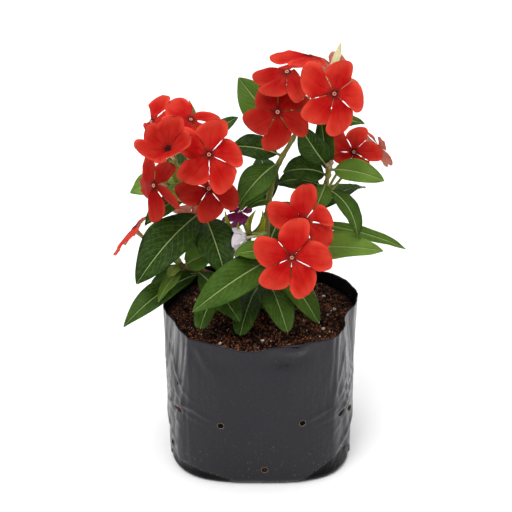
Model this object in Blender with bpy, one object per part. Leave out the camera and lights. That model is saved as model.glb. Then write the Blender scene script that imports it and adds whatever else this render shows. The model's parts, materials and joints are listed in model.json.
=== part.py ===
"""A Madagascar periwinkle in bloom, in the black gusseted film bag that nurseries grow it in.

The tables give every place in whole millimetres, with the origin on the floor under the middle of the
bag, X to the right, Y to the back and Z up.  Meshes are built in metres.
"""
import math
from collections import namedtuple

import bmesh
import bpy
from mathutils import Vector

MM = 0.001

# Clear space between touching pieces, between soil and film, and where a branch leaves its stem
GAP = 0.35
SOIL_GAP = 0.6
FORK_GAP = 0.7

# Bag: a 200 mm lay-flat bag opened to a round mouth over a squarer base
MOUTH_RADIUS = 65.0
BASE_HALF_WIDTH = 62.0
BASE_HALF_DEPTH = 57.5
BASE_SQUARENESS = 1.1
RIM_HEIGHT = 104.0
FILM = 0.8
BASE_ROUNDING = 4.0
WALL_HEIGHTS = (30, 60, 85)

# Gusset creases: angles round the bag from +X, how far each stands out and how many degrees it spreads
CREASE_ANGLES = (-137, -42, 42, 137)
CREASE_RISE = 1.4
CREASE_SPREAD = 7.0
AROUND = 36
HOLE_RADIUS = 2.6
HOLE_SIDES = 8
# Angle round the bag from +X, in degrees, and height of each drain hole
DRAIN_HOLES = ((-113.4, 45.7), (-65.2, 48), (-88, 12), (-176, 20), (-6, 50), (92, 35), (63, 14), (118, 40))

# Soil: its height by the film, the mound round the stems and the rings that its surface is made of
SOIL_HEIGHT = 96.0
MOUND_HEIGHT = 2.0
MOUND_MIDDLE = (-6, 14)
MOUND_SPREAD = 30.0
SOIL_RINGS = (0, 14, 28, 42, 54)

# Plant: blade thickness, how far a fused leaf sinks into its stem, sides of round stems
BLADE = 0.65
SUNK = 1.6
STEM_SIDES = 6
TWIG_SIDES = 5
FORK_REACH = 5.0

Stem = namedtuple("Stem", "name parent thick thin points")
Leaf = namedtuple("Leaf", "name stem at tip face width arch point", defaults=[0.8])
Bloom = namedtuple("Bloom", "name stem at eye face tube lobes")
Lobe = namedtuple("Lobe", "turn reach width lift twist", defaults=[8])
Twig = namedtuple("Twig", "stem at tip bow radii")

# A stem starts in the soil, or on its parent at a fraction of the parent's length
STEMS = [
    Stem("main_stem", None, 2.7, 1.2, [(-7, 15, 83), (-6, 14, 97), (1, 12, 118), (4, 11, 150), (6, 10, 178),
                                       (11, 8, 199), (20, 6, 217), (27, 5, 232), (30, 6, 242)]),
    Stem("left_branch", ("main_stem", 0.16), 1.9, 1.2, [(-14, 12, 121), (-25, 9, 142), (-34, 6, 160),
                                                        (-40, 2, 180), (-43, -2, 203)]),
    Stem("right_branch", ("main_stem", 0.25), 1.9, 1.3, [(12, 15, 129), (22, 14, 142), (32, 11, 158),
                                                         (40, 8, 179), (43, 5, 193), (44, 2, 203)]),
    Stem("low_branch", ("main_stem", 0.12), 1.7, 1.0, [(-13, 6, 113), (-24, 0, 123), (-36, -4, 130),
                                                       (-46, -7, 133), (-54, -10, 139)]),
    Stem("front_branch", ("main_stem", 0.21), 1.7, 1.2, [(4, 3, 126), (8, -6, 138), (13, -14, 149),
                                                         (17, -20, 156)]),
    Stem("purple_stem", None, 1.9, 1.1, [(-14, 24, 83), (-14, 23, 97), (-12, 17, 122), (-8, 9, 143),
                                         (-6, 2, 155)]),
]

# Each leaf: where it leaves its stem, its tip, the way its upper side looks, its width, its arch and
# how pointed its tip is
LEAVES = [
    Leaf("leaf_crown_left", "main_stem", 0.84, (-14, 18, 254), (-3, -9, 3), 25, 5),
    Leaf("leaf_crown_flat", "main_stem", 0.76, (-20, 8, 212), (-1, -6, 7), 18, 4),
    Leaf("leaf_crown_hang", "main_stem", 0.73, (-14, -22, 184), (-3, -8, 6), 25, 5),
    Leaf("leaf_crown_right", "main_stem", 0.93, (65, 2, 229), (2, -5, 8), 14, 3),
    Leaf("leaf_crown_back", "main_stem", 0.88, (10, 56, 236), (0, 3, 9), 22, 6),
    Leaf("leaf_main_grey", "main_stem", 0.61, (-13, -14, 177), (-2, -5, 8), 15, 7),
    Leaf("leaf_main_back", "main_stem", 0.52, (-5, 56, 196), (0, 3, 9), 24, 6),
    Leaf("leaf_main_back_low", "main_stem", 0.32, (24, 62, 152), (2, 4, 8), 24, 8),
    Leaf("leaf_tip_upright", "right_branch", 0.97, (24, -6, 230), (-3, -8, 3), 20, 2),
    Leaf("leaf_tip_behind", "right_branch", 0.90, (38, 14, 230), (1, -8, 3), 13, 2),
    Leaf("leaf_tip_right", "right_branch", 0.95, (77, -14, 197), (1, -7, 7), 19, 5),
    Leaf("leaf_tip_left", "right_branch", 0.90, (14, -1, 198), (0, -6, 8), 21, 5),
    Leaf("leaf_right_hang", "right_branch", 0.80, (62, -12, 157), (5, -6, 6), 15, 8),
    Leaf("leaf_right_narrow", "right_branch", 0.50, (97, 14, 138), (3, -6, 8), 11, 5),
    Leaf("leaf_right_broad", "right_branch", 0.24, (78, -18, 151), (1, -6, 8), 22, 5),
    Leaf("leaf_right_back", "right_branch", 0.56, (72, 50, 168), (3, 4, 8), 22, 6),
    Leaf("leaf_left_big", "left_branch", 0.67, (-77, -44, 140), (-6, -8, 5), 27, 7),
    Leaf("leaf_left_inner", "left_branch", 0.58, (-22, -32, 140), (1, -8, 5), 26, 6),
    Leaf("leaf_left_high", "left_branch", 0.97, (-14, 16, 229), (-1, -5, 8), 14, 9),
    Leaf("leaf_left_outer", "left_branch", 0.93, (-84, 4, 182), (-3, -6, 7), 19, 5),
    Leaf("leaf_left_mid", "left_branch", 0.82, (-74, -10, 165), (-4, -6, 6), 14, 5),
    Leaf("leaf_left_back", "left_branch", 0.78, (-66, 44, 196), (-3, 4, 8), 22, 5),
    Leaf("leaf_left_back_low", "left_branch", 0.36, (-22, 64, 130), (-2, 4, 8), 22, 7),
    Leaf("leaf_low_outer", "low_branch", 0.72, (-87, -40, 108), (-4, -6, 8), 19, 7),
    Leaf("leaf_low_inner", "low_branch", 0.66, (-13, -42, 113), (1, -6, 8), 18, 6, 0.6),
    Leaf("leaf_low_round", "low_branch", 0.45, (-38, -46, 110), (-2, -6, 8), 15, 5, 0.45),
    Leaf("leaf_low_behind", "low_branch", 0.92, (-31, -8, 144), (-1, -7, 7), 15, 3),
    Leaf("leaf_front_big", "front_branch", 0.68, (-42, -56, 127), (-1, -8, 6), 25, 8),
    Leaf("leaf_front_light", "front_branch", 0.84, (-17, -30, 154), (-1, -5, 8), 17, 2),
    Leaf("leaf_front_left", "main_stem", 0.18, (-13, -42, 103), (-1, -6, 8), 18, 6, 0.5),
    Leaf("leaf_front_middle", "front_branch", 0.24, (17, -47, 108), (1, -8, 5), 21, 5, 0.5),
    Leaf("leaf_front_right", "front_branch", 0.55, (37, -34, 108), (2, -7, 6), 18, 6, 0.6),
]

# Small leaves that stay fused to their stems
SPROUTS = [
    Leaf("sprout", "right_branch", 0.84, (34, -10, 174), (1, -7, 6), 14, 3),
    Leaf("sprout", "right_branch", 0.80, (10, 14, 184), (-1, -6, 8), 15, 7),
    Leaf("sprout", "low_branch", 0.91, (-66, -40, 126), (-8, -2, 3), 10, 5),
    Leaf("sprout", "low_branch", 0.98, (-61, -17, 146), (-4, -6, 7), 8, 2),
    Leaf("sprout", "main_stem", 0.56, (-8, -8, 176), (-1, -5, 8), 13, 3),
    Leaf("sprout", "main_stem", 0.14, (5, -4, 100), (1, -5, 8), 8, 3),
]

# Each bloom: where its stalk leaves, its eye, the way it looks, the length of its tube, and its lobes with
# their turn clockwise from the top, reach, width, lift towards the viewer and twist, in degrees
BLOOMS = [
    Bloom("bloom_front", "front_branch", 0.97, (19, -46, 159), (0, -9, 4), 18, [
        Lobe(82, 24.5, 19, 4), Lobe(154, 25, 18.3, 0), Lobe(213, 24.5, 17.1, 0),
        Lobe(275, 24.3, 18.3, 0), Lobe(357, 24.7, 17.7, 0)]),
    Bloom("bloom_second", "front_branch", 0.94, (27, -30, 177), (1, -8, 5), 16.5, [
        Lobe(85, 18, 16, 35), Lobe(128, 21.4, 16, 5), Lobe(208, 20, 16, 5), Lobe(282, 24, 16, 0),
        Lobe(357, 23.3, 16, 0)]),
    Bloom("bloom_crown_big", "main_stem", 0.96, (42, -33, 260), (0, -9, 3), 17.5, [
        Lobe(7, 20, 16, 20), Lobe(97, 19.6, 18, 40), Lobe(164, 25, 16.5, 0), Lobe(214, 22.4, 18, 0),
        Lobe(299, 22.3, 18.5, 0)]),
    Bloom("bloom_crown_low", "main_stem", 0.88, (10, -22, 244), (0, -8, 3), 16.5, [
        Lobe(48, 20, 17, -5), Lobe(116, 21.5, 14, 12), Lobe(179, 23.3, 18.5, 0),
        Lobe(238, 20.3, 18.5, 8), Lobe(318, 19, 17, -12)]),
    Bloom("bloom_crown_high", "main_stem", 0.97, (15, -14, 268), (-1, -6, 7), 15, [
        Lobe(76, 12, 10, -50), Lobe(143, 21, 13, 0), Lobe(209, 19.5, 17.5, 0), Lobe(253, 21.2, 12.5, -5),
        Lobe(356, 9, 9, -55)]),
    Bloom("bloom_crown_top", "main_stem", 0.99, (28, 4, 271), (0, 0.6, 9), 15, [
        Lobe(50, 15, 12, -28), Lobe(118, 13, 10, -20), Lobe(200, 13.5, 11, 2),
        Lobe(285, 23.5, 13.5, 3), Lobe(340, 18, 14, -32)]),
    Bloom("bloom_crown_back", "main_stem", 0.95, (45, 32, 246), (2, 9, 2), 13, [
        Lobe(32, 18, 16, 5), Lobe(104, 18, 16, 0), Lobe(176, 18, 16, 0), Lobe(248, 18, 16, 0),
        Lobe(320, 18, 16, 0)]),
    Bloom("bloom_right_low", "right_branch", 0.62, (59, 14, 206), (1, -8, 4), 13.7, [
        Lobe(8, 16.5, 14, 20), Lobe(86, 19, 13.5, 0), Lobe(160, 18, 16, 0), Lobe(232, 18, 14, 0),
        Lobe(297, 17.7, 13.5, 8)]),
    Bloom("bloom_right_out", "right_branch", 0.62, (77, 25, 206), (8, 3, 5), 11.5, [
        Lobe(12, 16, 14, 0), Lobe(84, 16, 14, 0), Lobe(156, 16, 14, 0), Lobe(228, 16, 14, 0),
        Lobe(300, 11, 10, 20)]),
    Bloom("bloom_left_cup", "left_branch", 0.99, (-55, -40, 227), (-2, -6, 7), 15, [
        Lobe(68, 20, 15, 42), Lobe(146, 20, 16.5, 50), Lobe(233, 20.4, 15.4, 45), Lobe(293, 18, 14, 36),
        Lobe(356, 19.5, 17.5, 40)]),
    Bloom("bloom_left_big", "left_branch", 0.97, (-31, -33, 221), (0, -9, 4), 16.5, [
        Lobe(3, 21, 20, 15), Lobe(83, 19.7, 18.6, 0), Lobe(149, 24, 17.4, 0), Lobe(216, 22.2, 18, 10),
        Lobe(297, 22.5, 16.8, -3)]),
    Bloom("bloom_left_drop", "left_branch", 0.93, (-65, -30, 200), (-5, -8, 3), 15, [
        Lobe(26, 18.3, 13.4, 5), Lobe(106, 22.5, 10, 10, -50), Lobe(162, 22.3, 12.2, 0),
        Lobe(244, 20, 15.8, -28), Lobe(319, 20, 12.2, -5)]),
    Bloom("bloom_left_under", "left_branch", 0.90, (-32, -22, 195), (0, -9, 3), 16, [
        Lobe(38, 20, 15, 5), Lobe(109, 20.3, 16, 5), Lobe(172, 20.4, 17.6, 5), Lobe(251, 20.2, 16.6, 5),
        Lobe(325, 19, 15, 15)]),
    Bloom("bloom_left_behind", "left_branch", 0.99, (-69, 12, 227), (-5, -7, 5), 13, [
        Lobe(75, 16, 14, 0), Lobe(150, 16, 14, -5), Lobe(222, 16, 14, -10), Lobe(295, 16, 14, -40),
        Lobe(351, 18, 12, 0)]),
    Bloom("bloom_left_high", "left_branch", 0.99, (-43, -6, 234), (2, -4, 9), 13.7, [
        Lobe(48, 20, 12.5, -2), Lobe(112, 17, 13, -12), Lobe(172, 18, 15, -8), Lobe(245, 17, 15, -5),
        Lobe(318, 21.4, 17, 0)]),
    Bloom("bloom_left_out", "left_branch", 0.48, (-81, -12, 164), (-7, 2, 6), 15, [
        Lobe(6, 12, 12, 5), Lobe(78, 21, 19, 0), Lobe(150, 21, 19, 0), Lobe(222, 21, 19, 0),
        Lobe(294, 14, 13, 0)]),
    Bloom("bloom_left_back", "left_branch", 0.56, (-46, 24, 158), (-1, 8, 4), 14.5, [
        Lobe(36, 19, 17, 0), Lobe(108, 19, 17, 0), Lobe(180, 18, 17, 0), Lobe(252, 19, 17, 0),
        Lobe(324, 19, 17, 0)]),
    Bloom("bloom_purple_folded", "purple_stem", 0.99, (-9, -16, 159), (-8, 2, -3), 8.6, [
        Lobe(0, 12, 10, 45), Lobe(72, 12, 10, 45), Lobe(144, 12, 10, 45), Lobe(216, 12, 10, 45),
        Lobe(288, 12, 10, 45)]),
    Bloom("bloom_purple_open", "purple_stem", 0.90, (-13, 6, 168), (-2, -3, 9), 8.6, [
        Lobe(20, 12, 11, 10), Lobe(92, 12, 11, 10), Lobe(164, 12, 11, 10), Lobe(236, 12, 11, 10),
        Lobe(308, 12, 11, 10)]),
]

# Unopened buds and seed pods, each fused to its stem, as (radius, radius, ...) from root to tip
TWIGS = [
    Twig("main_stem", 0.99, (54, 22, 273), (3, 0, 0), (0.9, 1.0, 1.2, 2.2, 2.4, 0.5)),
    Twig("left_branch", 0.99, (-45, 15, 240), (3, 6, 0), (0.9, 1.0, 1.0, 1.6, 1.7, 0.5)),
    Twig("purple_stem", 0.97, (-24, -8, 171), (0, 0, -5), (0.8, 1.2, 1.5, 1.4, 1.1, 0.4)),
    Twig("purple_stem", 0.99, (-4, -4, 172), (0, -3, 0), (0.8, 1.2, 1.4, 1.3, 1.0, 0.4)),
    Twig("purple_stem", 0.99, (1, -2, 170), (0, 3, 0), (0.8, 1.2, 1.4, 1.3, 1.0, 0.4)),
    Twig("purple_stem", 0.98, (6, -6, 166), (0, 0, -4), (0.8, 1.2, 1.5, 1.4, 1.1, 0.4)),
]


def unit(vector):
    return Vector(vector).normalized()


def square_to(vector, axis):
    """The part of a vector that stands square to an axis."""
    return (vector - vector.dot(axis) * axis).normalized()


def new_material(name, colour, roughness):
    material = bpy.data.materials.new(name)
    material.use_nodes = True
    shader = material.node_tree.nodes["Principled BSDF"]
    shader.inputs["Base Color"].default_value = (*colour, 1.0)
    shader.inputs["Roughness"].default_value = roughness
    shader.inputs["Metallic"].default_value = 0.0
    material.diffuse_color = (*colour, 1.0)
    return material


def solid(name, points, faces, material):
    """One closed object from points in millimetres and lists of corner numbers."""
    shape = bmesh.new()
    corners = [shape.verts.new(Vector(point) * MM) for point in points]
    for face in faces:
        shape.faces.new([corners[number] for number in face])
    bmesh.ops.recalc_face_normals(shape, faces=shape.faces)
    bmesh.ops.triangulate(shape, faces=[face for face in shape.faces if len(face.verts) > 4])
    mesh = bpy.data.meshes.new(name)
    shape.to_mesh(mesh)
    shape.free()
    mesh.materials.append(material)
    thing = bpy.data.objects.new(name, mesh)
    bpy.context.scene.collection.objects.link(thing)
    return thing


def combine(target, helpers, operation, solver="EXACT"):
    """Boolean the helpers into the target, keep the result as plain mesh and remove the helpers."""
    group = bpy.data.collections.new(target.name + "_helpers")
    bpy.context.scene.collection.children.link(group)
    for helper in helpers:
        helper.hide_render = True
        helper.display_type = "WIRE"
        bpy.context.scene.collection.objects.unlink(helper)
        group.objects.link(helper)
    step = target.modifiers.new("combine", "BOOLEAN")
    step.operation = operation
    step.solver = solver
    step.operand_type = "COLLECTION"
    step.collection = group
    view = bpy.context.evaluated_depsgraph_get()
    result = bpy.data.meshes.new_from_object(target.evaluated_get(view))
    target.modifiers.clear()
    target.data = result
    for helper in helpers:
        bpy.data.objects.remove(helper)
    bpy.data.collections.remove(group)


def smooth_path(points, per_span=2):
    """Points along a smooth curve through the given ones."""
    points = [Vector(point) for point in points]
    ends = [2 * points[0] - points[1]] + points + [2 * points[-1] - points[-2]]
    path = []
    for before, start, end, after in zip(ends, ends[1:], ends[2:], ends[3:]):
        for step in range(per_span):
            t = step / per_span
            path.append(0.5 * (2 * start + (end - before) * t
                               + (2 * before - 5 * start + 4 * end - after) * t ** 2
                               + (3 * start - before - 3 * end + after) * t ** 3))
    path.append(points[-1])
    return path


def bow_path(start, control, end, steps):
    """Points along a parabola that leaves the start towards the control point."""
    return [(1 - t) ** 2 * start + 2 * t * (1 - t) * control + t ** 2 * end
            for t in (step / steps for step in range(steps + 1))]


def directions(path):
    last = len(path) - 1
    return [(path[min(i + 1, last)] - path[max(i - 1, 0)]).normalized() for i in range(last + 1)]


def tube(name, path, radii, sides, material):
    """A closed round bar along a path, with one radius for each of its points."""
    points = []
    across = square_to(Vector((0.31, 0.87, 0.41)), directions(path)[0])
    for centre, along, radius in zip(path, directions(path), radii):
        across = square_to(across, along)
        up = along.cross(across)
        for side in range(sides):
            angle = 2 * math.pi * side / sides
            points.append(centre + radius * (math.cos(angle) * across + math.sin(angle) * up))
    return solid(name, points, rings_to_faces(len(path), sides), material)


def rings_to_faces(rings, sides):
    """Faces of a closed bar made of rings of corners, with a cap at each end."""
    faces = [list(range(sides))[::-1], [(rings - 1) * sides + side for side in range(sides)]]
    for ring in range(rings - 1):
        for side in range(sides):
            here = ring * sides
            beside = (side + 1) % sides
            faces.append([here + side, here + beside, here + sides + beside, here + sides + side])
    return faces


def spread_evenly(values, count):
    """The same run of values read off at another number of even steps."""
    result = []
    for step in range(count):
        place = step / (count - 1) * (len(values) - 1)
        low = min(int(place), len(values) - 2)
        result.append(values[low] + (values[low + 1] - values[low]) * (place - low))
    return result


class StemLine:
    """The centre line of a stem, with its radius along it."""

    def __init__(self, spec, lines):
        points = [Vector(point) for point in spec.points]
        if spec.parent:
            name, at = spec.parent
            centre, along, radius = lines[name].read(at)
            away = square_to(points[0] - centre, along)
            points = [centre + away * (radius + FORK_GAP), centre + away * (radius + FORK_REACH)] + points
        self.path = smooth_path(points)
        self.radii = spread_evenly([spec.thick, spec.thin], len(self.path))
        steps = [(b - a).length for a, b in zip(self.path, self.path[1:])]
        self.length = sum(steps)
        self.marks = [sum(steps[:i]) / self.length for i in range(len(self.path))]

    def read(self, at):
        """The centre, the direction and the radius at a fraction of the length."""
        for i in range(len(self.path) - 1):
            if at <= self.marks[i + 1] or i == len(self.path) - 2:
                t = (at - self.marks[i]) / (self.marks[i + 1] - self.marks[i])
                centre = self.path[i].lerp(self.path[i + 1], t)
                along = (self.path[i + 1] - self.path[i]).normalized()
                return centre, along, self.radii[i] + (self.radii[i + 1] - self.radii[i]) * t


# Leaf blade: half width, thickness at the rib and place along the leaf for each of its cross-sections
LEAF_STATIONS = (0.0, 0.07, 0.16, 0.28, 0.42, 0.57, 0.72, 0.87, 1.0)
STALK_SHARE = 0.07
STALK_HALF = 0.8
RIB_THICKNESS = (1.5, 0.9)
TIP_HALF = 0.7
LEAF_FOLD = 12


def leaf_half_width(t, width, point):
    """Half the blade's width: none on the stalk, widest before the middle, pointed or blunt at the tip."""
    share = max(0.0, (t - STALK_SHARE) / (1 - STALK_SHARE))
    power = 0.8 + (point - 0.8) * share
    blade = width / 2 * max(0.0, math.sin(math.pi * share ** 0.88)) ** power
    return max(blade, STALK_HALF + (TIP_HALF - STALK_HALF) * t)


def make_leaf(leaf, lines, material, gap=GAP):
    """A thin arched blade on a short stalk, its halves lifted a little from the rib."""
    centre, along, radius = lines[leaf.stem].read(leaf.at)
    tip = Vector(leaf.tip)
    away = square_to(tip - centre, along)
    start = centre + away * (radius + gap)
    chord = (tip - start).normalized()
    face = square_to(Vector(leaf.face), chord)
    start += away * STALK_HALF * math.sqrt(max(0.0, 1 - chord.dot(away) ** 2))
    control = (start + tip) / 2 + face * 2 * leaf.arch
    points = []
    for t in LEAF_STATIONS:
        rib = (1 - t) ** 2 * start + 2 * t * (1 - t) * control + t ** 2 * tip
        forward = ((1 - t) * (control - start) + t * (tip - control)).normalized()
        normal = square_to(face, forward)
        side = forward.cross(normal)
        half = leaf_half_width(t, leaf.width, leaf.point)
        rise = math.sin(math.radians(LEAF_FOLD)) * (half - STALK_HALF) * normal
        thickness = RIB_THICKNESS[0] + (RIB_THICKNESS[1] - RIB_THICKNESS[0]) * t
        for place, depth in ((-half, 0), (0, 0), (half, 0), (half, BLADE), (0, thickness), (-half, BLADE)):
            points.append(rib + side * place + (rise if place else Vector()) - normal * depth)
    faces = []
    for quad in rings_to_faces(len(LEAF_STATIONS), 6)[2:]:
        place = quad[0] % 6
        if place in (0, 1):
            faces += [[quad[0], quad[1], quad[3]], [quad[1], quad[2], quad[3]]]
        elif place in (3, 4):
            faces += [[quad[0], quad[1], quad[2]], [quad[0], quad[2], quad[3]]]
        else:
            faces.append(quad)
    last = (len(LEAF_STATIONS) - 1) * 6
    for cap in (0, last):
        faces += [[cap, cap + 1, cap + 4, cap + 5], [cap + 1, cap + 2, cap + 3, cap + 4]]
    return solid(leaf.name, points, faces, material)


# Corolla: five lobes round a mouth on a slender tube, each kept between the lines to its neighbours
THROAT = 2.2
EYE_DEPTH = 1.0
LOBE_STATIONS = (0.0, 0.33, 0.62, 0.86, 1.0)
LOBE_FULLNESS = (0.5, 0.74, 1.0, 0.96, 0.55)
LOBE_SKEW = 0.1
LOBE_BEND = 12
MIN_SIDE = 1.2
WIDEST_SIDE = math.radians(50)

# Tube: its (place along its length, radius)
TUBE_RINGS = ((0.12, 1.7), (1.0, 1.2))

# Flower stalk, with the little cup of the calyx at its end
STALK_RADII = (1.0, 0.9, 0.9, 1.1, 1.5)
STALK_BOW = 0.3
CUP_LENGTH = 2.5


def bloom_axes(face):
    """The way a bloom looks, its upward direction and the viewer's right."""
    looks = unit(face)
    reference = Vector((0, 0, 1)) if abs(looks.z) < 0.88 else Vector((0, 1, 0))
    up = square_to(reference, looks)
    return looks, up, up.cross(looks)


def neighbour_lines(bloom, number):
    """The turns, in degrees, of a lobe's two edges at the mouth, half-way to the lobes on either side."""
    turn = bloom.lobes[number].turn
    before = turn - (turn - bloom.lobes[number - 1].turn) % 360 / 2
    after = turn + (bloom.lobes[(number + 1) % 5].turn - turn) % 360 / 2
    return before, after


def lobe_sections(bloom, number):
    """For each place out along a lobe: its two edges and its middle, and the surface normal."""
    looks, up, right = bloom_axes(bloom.face)
    lobe = bloom.lobes[number]
    angle = math.radians(lobe.turn)
    out = math.cos(angle) * up + math.sin(angle) * right
    across = -math.sin(angle) * up + math.cos(angle) * right
    twist = math.radians(lobe.twist)
    limits = [min(WIDEST_SIDE, math.radians(abs(line - lobe.turn))) for line in neighbour_lines(bloom, number)]
    reach = lobe.reach - THROAT
    middle = Vector(bloom.eye) + out * THROAT
    distance = THROAT
    sections = []
    for i, t in enumerate(LOBE_STATIONS):
        slope = math.radians(lobe.lift - LOBE_BEND * t)
        if i:
            step = reach * (t - LOBE_STATIONS[i - 1])
            middle = middle + step * (math.cos(slope) * out + math.sin(slope) * looks)
            distance += step * math.cos(slope)
        normal = math.cos(slope) * looks - math.sin(slope) * out
        side = math.cos(twist) * across + math.sin(twist) * normal
        skew = LOBE_SKEW * lobe.reach * t ** 2
        half = lobe.width / 2 * LOBE_FULLNESS[i]
        near = max(MIN_SIDE, min(half, distance * math.tan(limits[0]) - BLADE + skew))
        far = max(MIN_SIDE, min(half, distance * math.tan(limits[1]) - BLADE - skew))
        core = middle + across * skew
        sections.append(((core - side * near, core, core + side * far), normal))
    return sections


def bloom_ring(bloom, radius, depth):
    """Ten corners round a bloom's axis, in line with its lobes' edges and middles by turns."""
    looks, up, right = bloom_axes(bloom.face)
    centre = Vector(bloom.eye) - looks * depth
    turns = []
    for number, lobe in enumerate(bloom.lobes):
        turns += [neighbour_lines(bloom, number)[0], lobe.turn]
    angles = [math.radians(turn) for turn in turns]
    return [centre + radius * (math.cos(angle) * up + math.sin(angle) * right) for angle in angles]


def make_bloom(bloom, material):
    """Five lobes that share the corners of the mouth, over a tube down to the calyx."""
    points = [Vector(bloom.eye) - unit(bloom.face) * EYE_DEPTH]
    points += bloom_ring(bloom, THROAT, 0.0) + bloom_ring(bloom, THROAT, BLADE)
    faces = [[0, 1 + i, 1 + (i + 1) % 10] for i in range(10)]
    for lobe in range(5):
        upper = [1 + 2 * lobe, 2 + 2 * lobe, 1 + (2 * lobe + 2) % 10]
        lower = [number + 10 for number in upper]
        for rim, normal in lobe_sections(bloom, lobe)[1:]:
            first = len(points)
            points += [*rim] + [point - normal * BLADE for point in rim]
            new_upper = [first, first + 1, first + 2]
            new_lower = [first + 3, first + 4, first + 5]
            for a, b in ((0, 1), (1, 2)):
                faces += [[upper[a], upper[b], new_upper[a]], [upper[b], new_upper[b], new_upper[a]]]
                faces += [[lower[a], new_lower[a], lower[b]], [lower[b], new_lower[a], new_lower[b]]]
            for a in (0, 2):
                faces.append([upper[a], new_upper[a], new_lower[a], lower[a]])
            upper, lower = new_upper, new_lower
        faces += [[upper[a], upper[a + 1], lower[a + 1], lower[a]] for a in (0, 1)]
    ring = list(range(11, 21))
    for share, radius in TUBE_RINGS:
        new_ring = list(range(len(points), len(points) + 10))
        points += bloom_ring(bloom, radius, bloom.tube * share)
        for i in range(10):
            faces.append([ring[i], ring[(i + 1) % 10], new_ring[(i + 1) % 10], new_ring[i]])
        ring = new_ring
    faces.append(ring)
    return solid(bloom.name, points, faces, material)


def make_stalk(bloom, lines, material):
    """The flower stalk from its stem to the little cup under the bloom's tube."""
    looks = unit(bloom.face)
    start = lines[bloom.stem].read(bloom.at)[0]
    cup = Vector(bloom.eye) - looks * (bloom.tube + GAP)
    foot = cup - looks * CUP_LENGTH
    reach = (foot - start).length
    path = bow_path(start, foot - looks * reach * STALK_BOW, foot, len(STALK_RADII) - 2) + [cup]
    return tube("stalk", path, STALK_RADII, TWIG_SIDES, material)


def make_twig(twig, lines, material):
    """A bud or a pod on its own short stalk."""
    start = lines[twig.stem].read(twig.at)[0]
    tip = Vector(twig.tip)
    path = bow_path(start, (start + tip) / 2 + 2 * Vector(twig.bow), tip, len(twig.radii) - 1)
    return tube("twig", path, twig.radii, TWIG_SIDES, material)


def make_stem(spec, lines, material):
    """A stem with every flower stalk, bud and pod that grows from it, fused in one body."""
    line = lines[spec.name]
    stem = tube(spec.name, line.path, line.radii, STEM_SIDES, material)
    parts = [make_stalk(bloom, lines, material) for bloom in BLOOMS if bloom.stem == spec.name]
    parts += [make_twig(twig, lines, material) for twig in TWIGS if twig.stem == spec.name]
    parts += [make_leaf(leaf, lines, material, -SUNK) for leaf in SPROUTS if leaf.stem == spec.name]
    if parts:
        combine(stem, parts, "UNION")
    return stem


def bag_radius(angle, height):
    """The bag's outside, round at the mouth and squarer towards the base."""
    share = max(0.0, min(1.0, height / RIM_HEIGHT))
    half_width = BASE_HALF_WIDTH + (MOUTH_RADIUS - BASE_HALF_WIDTH) * share
    half_depth = BASE_HALF_DEPTH + (MOUTH_RADIUS - BASE_HALF_DEPTH) * share
    power = 2 + BASE_SQUARENESS * (1 - share)
    radius = (abs(math.cos(angle) / half_width) ** power
              + abs(math.sin(angle) / half_depth) ** power) ** (-1 / power)
    for crease in CREASE_ANGLES:
        away = math.degrees(angle) - crease
        away = (away + 180) % 360 - 180
        radius += CREASE_RISE * math.exp(-(away / CREASE_SPREAD) ** 2) * share
    return radius


def rim_height(angle):
    """The cut edge of the film, which waves a few millimetres up and down."""
    return RIM_HEIGHT + 1.6 * math.cos(2 * angle - 0.5) + 1.3 * math.sin(3 * angle + 0.6)


def ring_at(height, inset):
    """One ring of the bag's outline, drawn in by an inset; height may be a function of the angle."""
    ring = []
    for step in range(AROUND):
        angle = 2 * math.pi * step / AROUND
        level = height(angle) if callable(height) else height
        radius = bag_radius(angle, level) - inset
        ring.append((radius * math.cos(angle), radius * math.sin(angle), level))
    return ring


def stack_rings(rings):
    """Points and faces of a closed body made of rings from its lowest middle to its highest."""
    points = [point for ring in rings for point in ring]
    return points, rings_to_faces(len(rings), AROUND)


def corner_rings(floor, inset):
    """The rounded corner between the base and the wall, drawn in by an inset."""
    return [ring_at(floor, BASE_ROUNDING + inset),
            ring_at(BASE_ROUNDING * 0.35 + floor, BASE_ROUNDING * 0.33 + inset),
            ring_at(BASE_ROUNDING * 1.3 + floor, inset)]


def make_bag(material):
    """A thin film cup: up the outside, over the rim, down the inside, with drain holes through it."""
    outer = corner_rings(0, 0) + [ring_at(height, 0) for height in WALL_HEIGHTS]
    inner = corner_rings(FILM, FILM) + [ring_at(height, FILM) for height in WALL_HEIGHTS]
    rim = [ring_at(rim_height, 0), ring_at(rim_height, FILM)]
    points, faces = stack_rings(outer + rim + inner[::-1])
    bag = solid("bag", points, faces, material)
    cutters = []
    for angle, height in DRAIN_HOLES:
        out = Vector((math.cos(math.radians(angle)), math.sin(math.radians(angle)), 0))
        level = Vector((0, 0, height))
        path = [out * BASE_HALF_DEPTH * 0.8 + level, out * MOUTH_RADIUS * 1.2 + level]
        cutters.append(tube("drain_hole", path, (HOLE_RADIUS, HOLE_RADIUS), HOLE_SIDES, material))
    combine(bag, cutters, "DIFFERENCE")
    return bag


def soil_top(x, y):
    """The soil's surface, gently uneven and a little higher round the stems."""
    away = math.hypot(x - MOUND_MIDDLE[0], y - MOUND_MIDDLE[1])
    mound = MOUND_HEIGHT * math.exp(-(away / MOUND_SPREAD) ** 2)
    return SOIL_HEIGHT + mound + 0.9 * math.sin(x / 9 + 1) * math.cos(y / 11) + 0.6 * math.sin((x + y) / 6)


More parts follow.
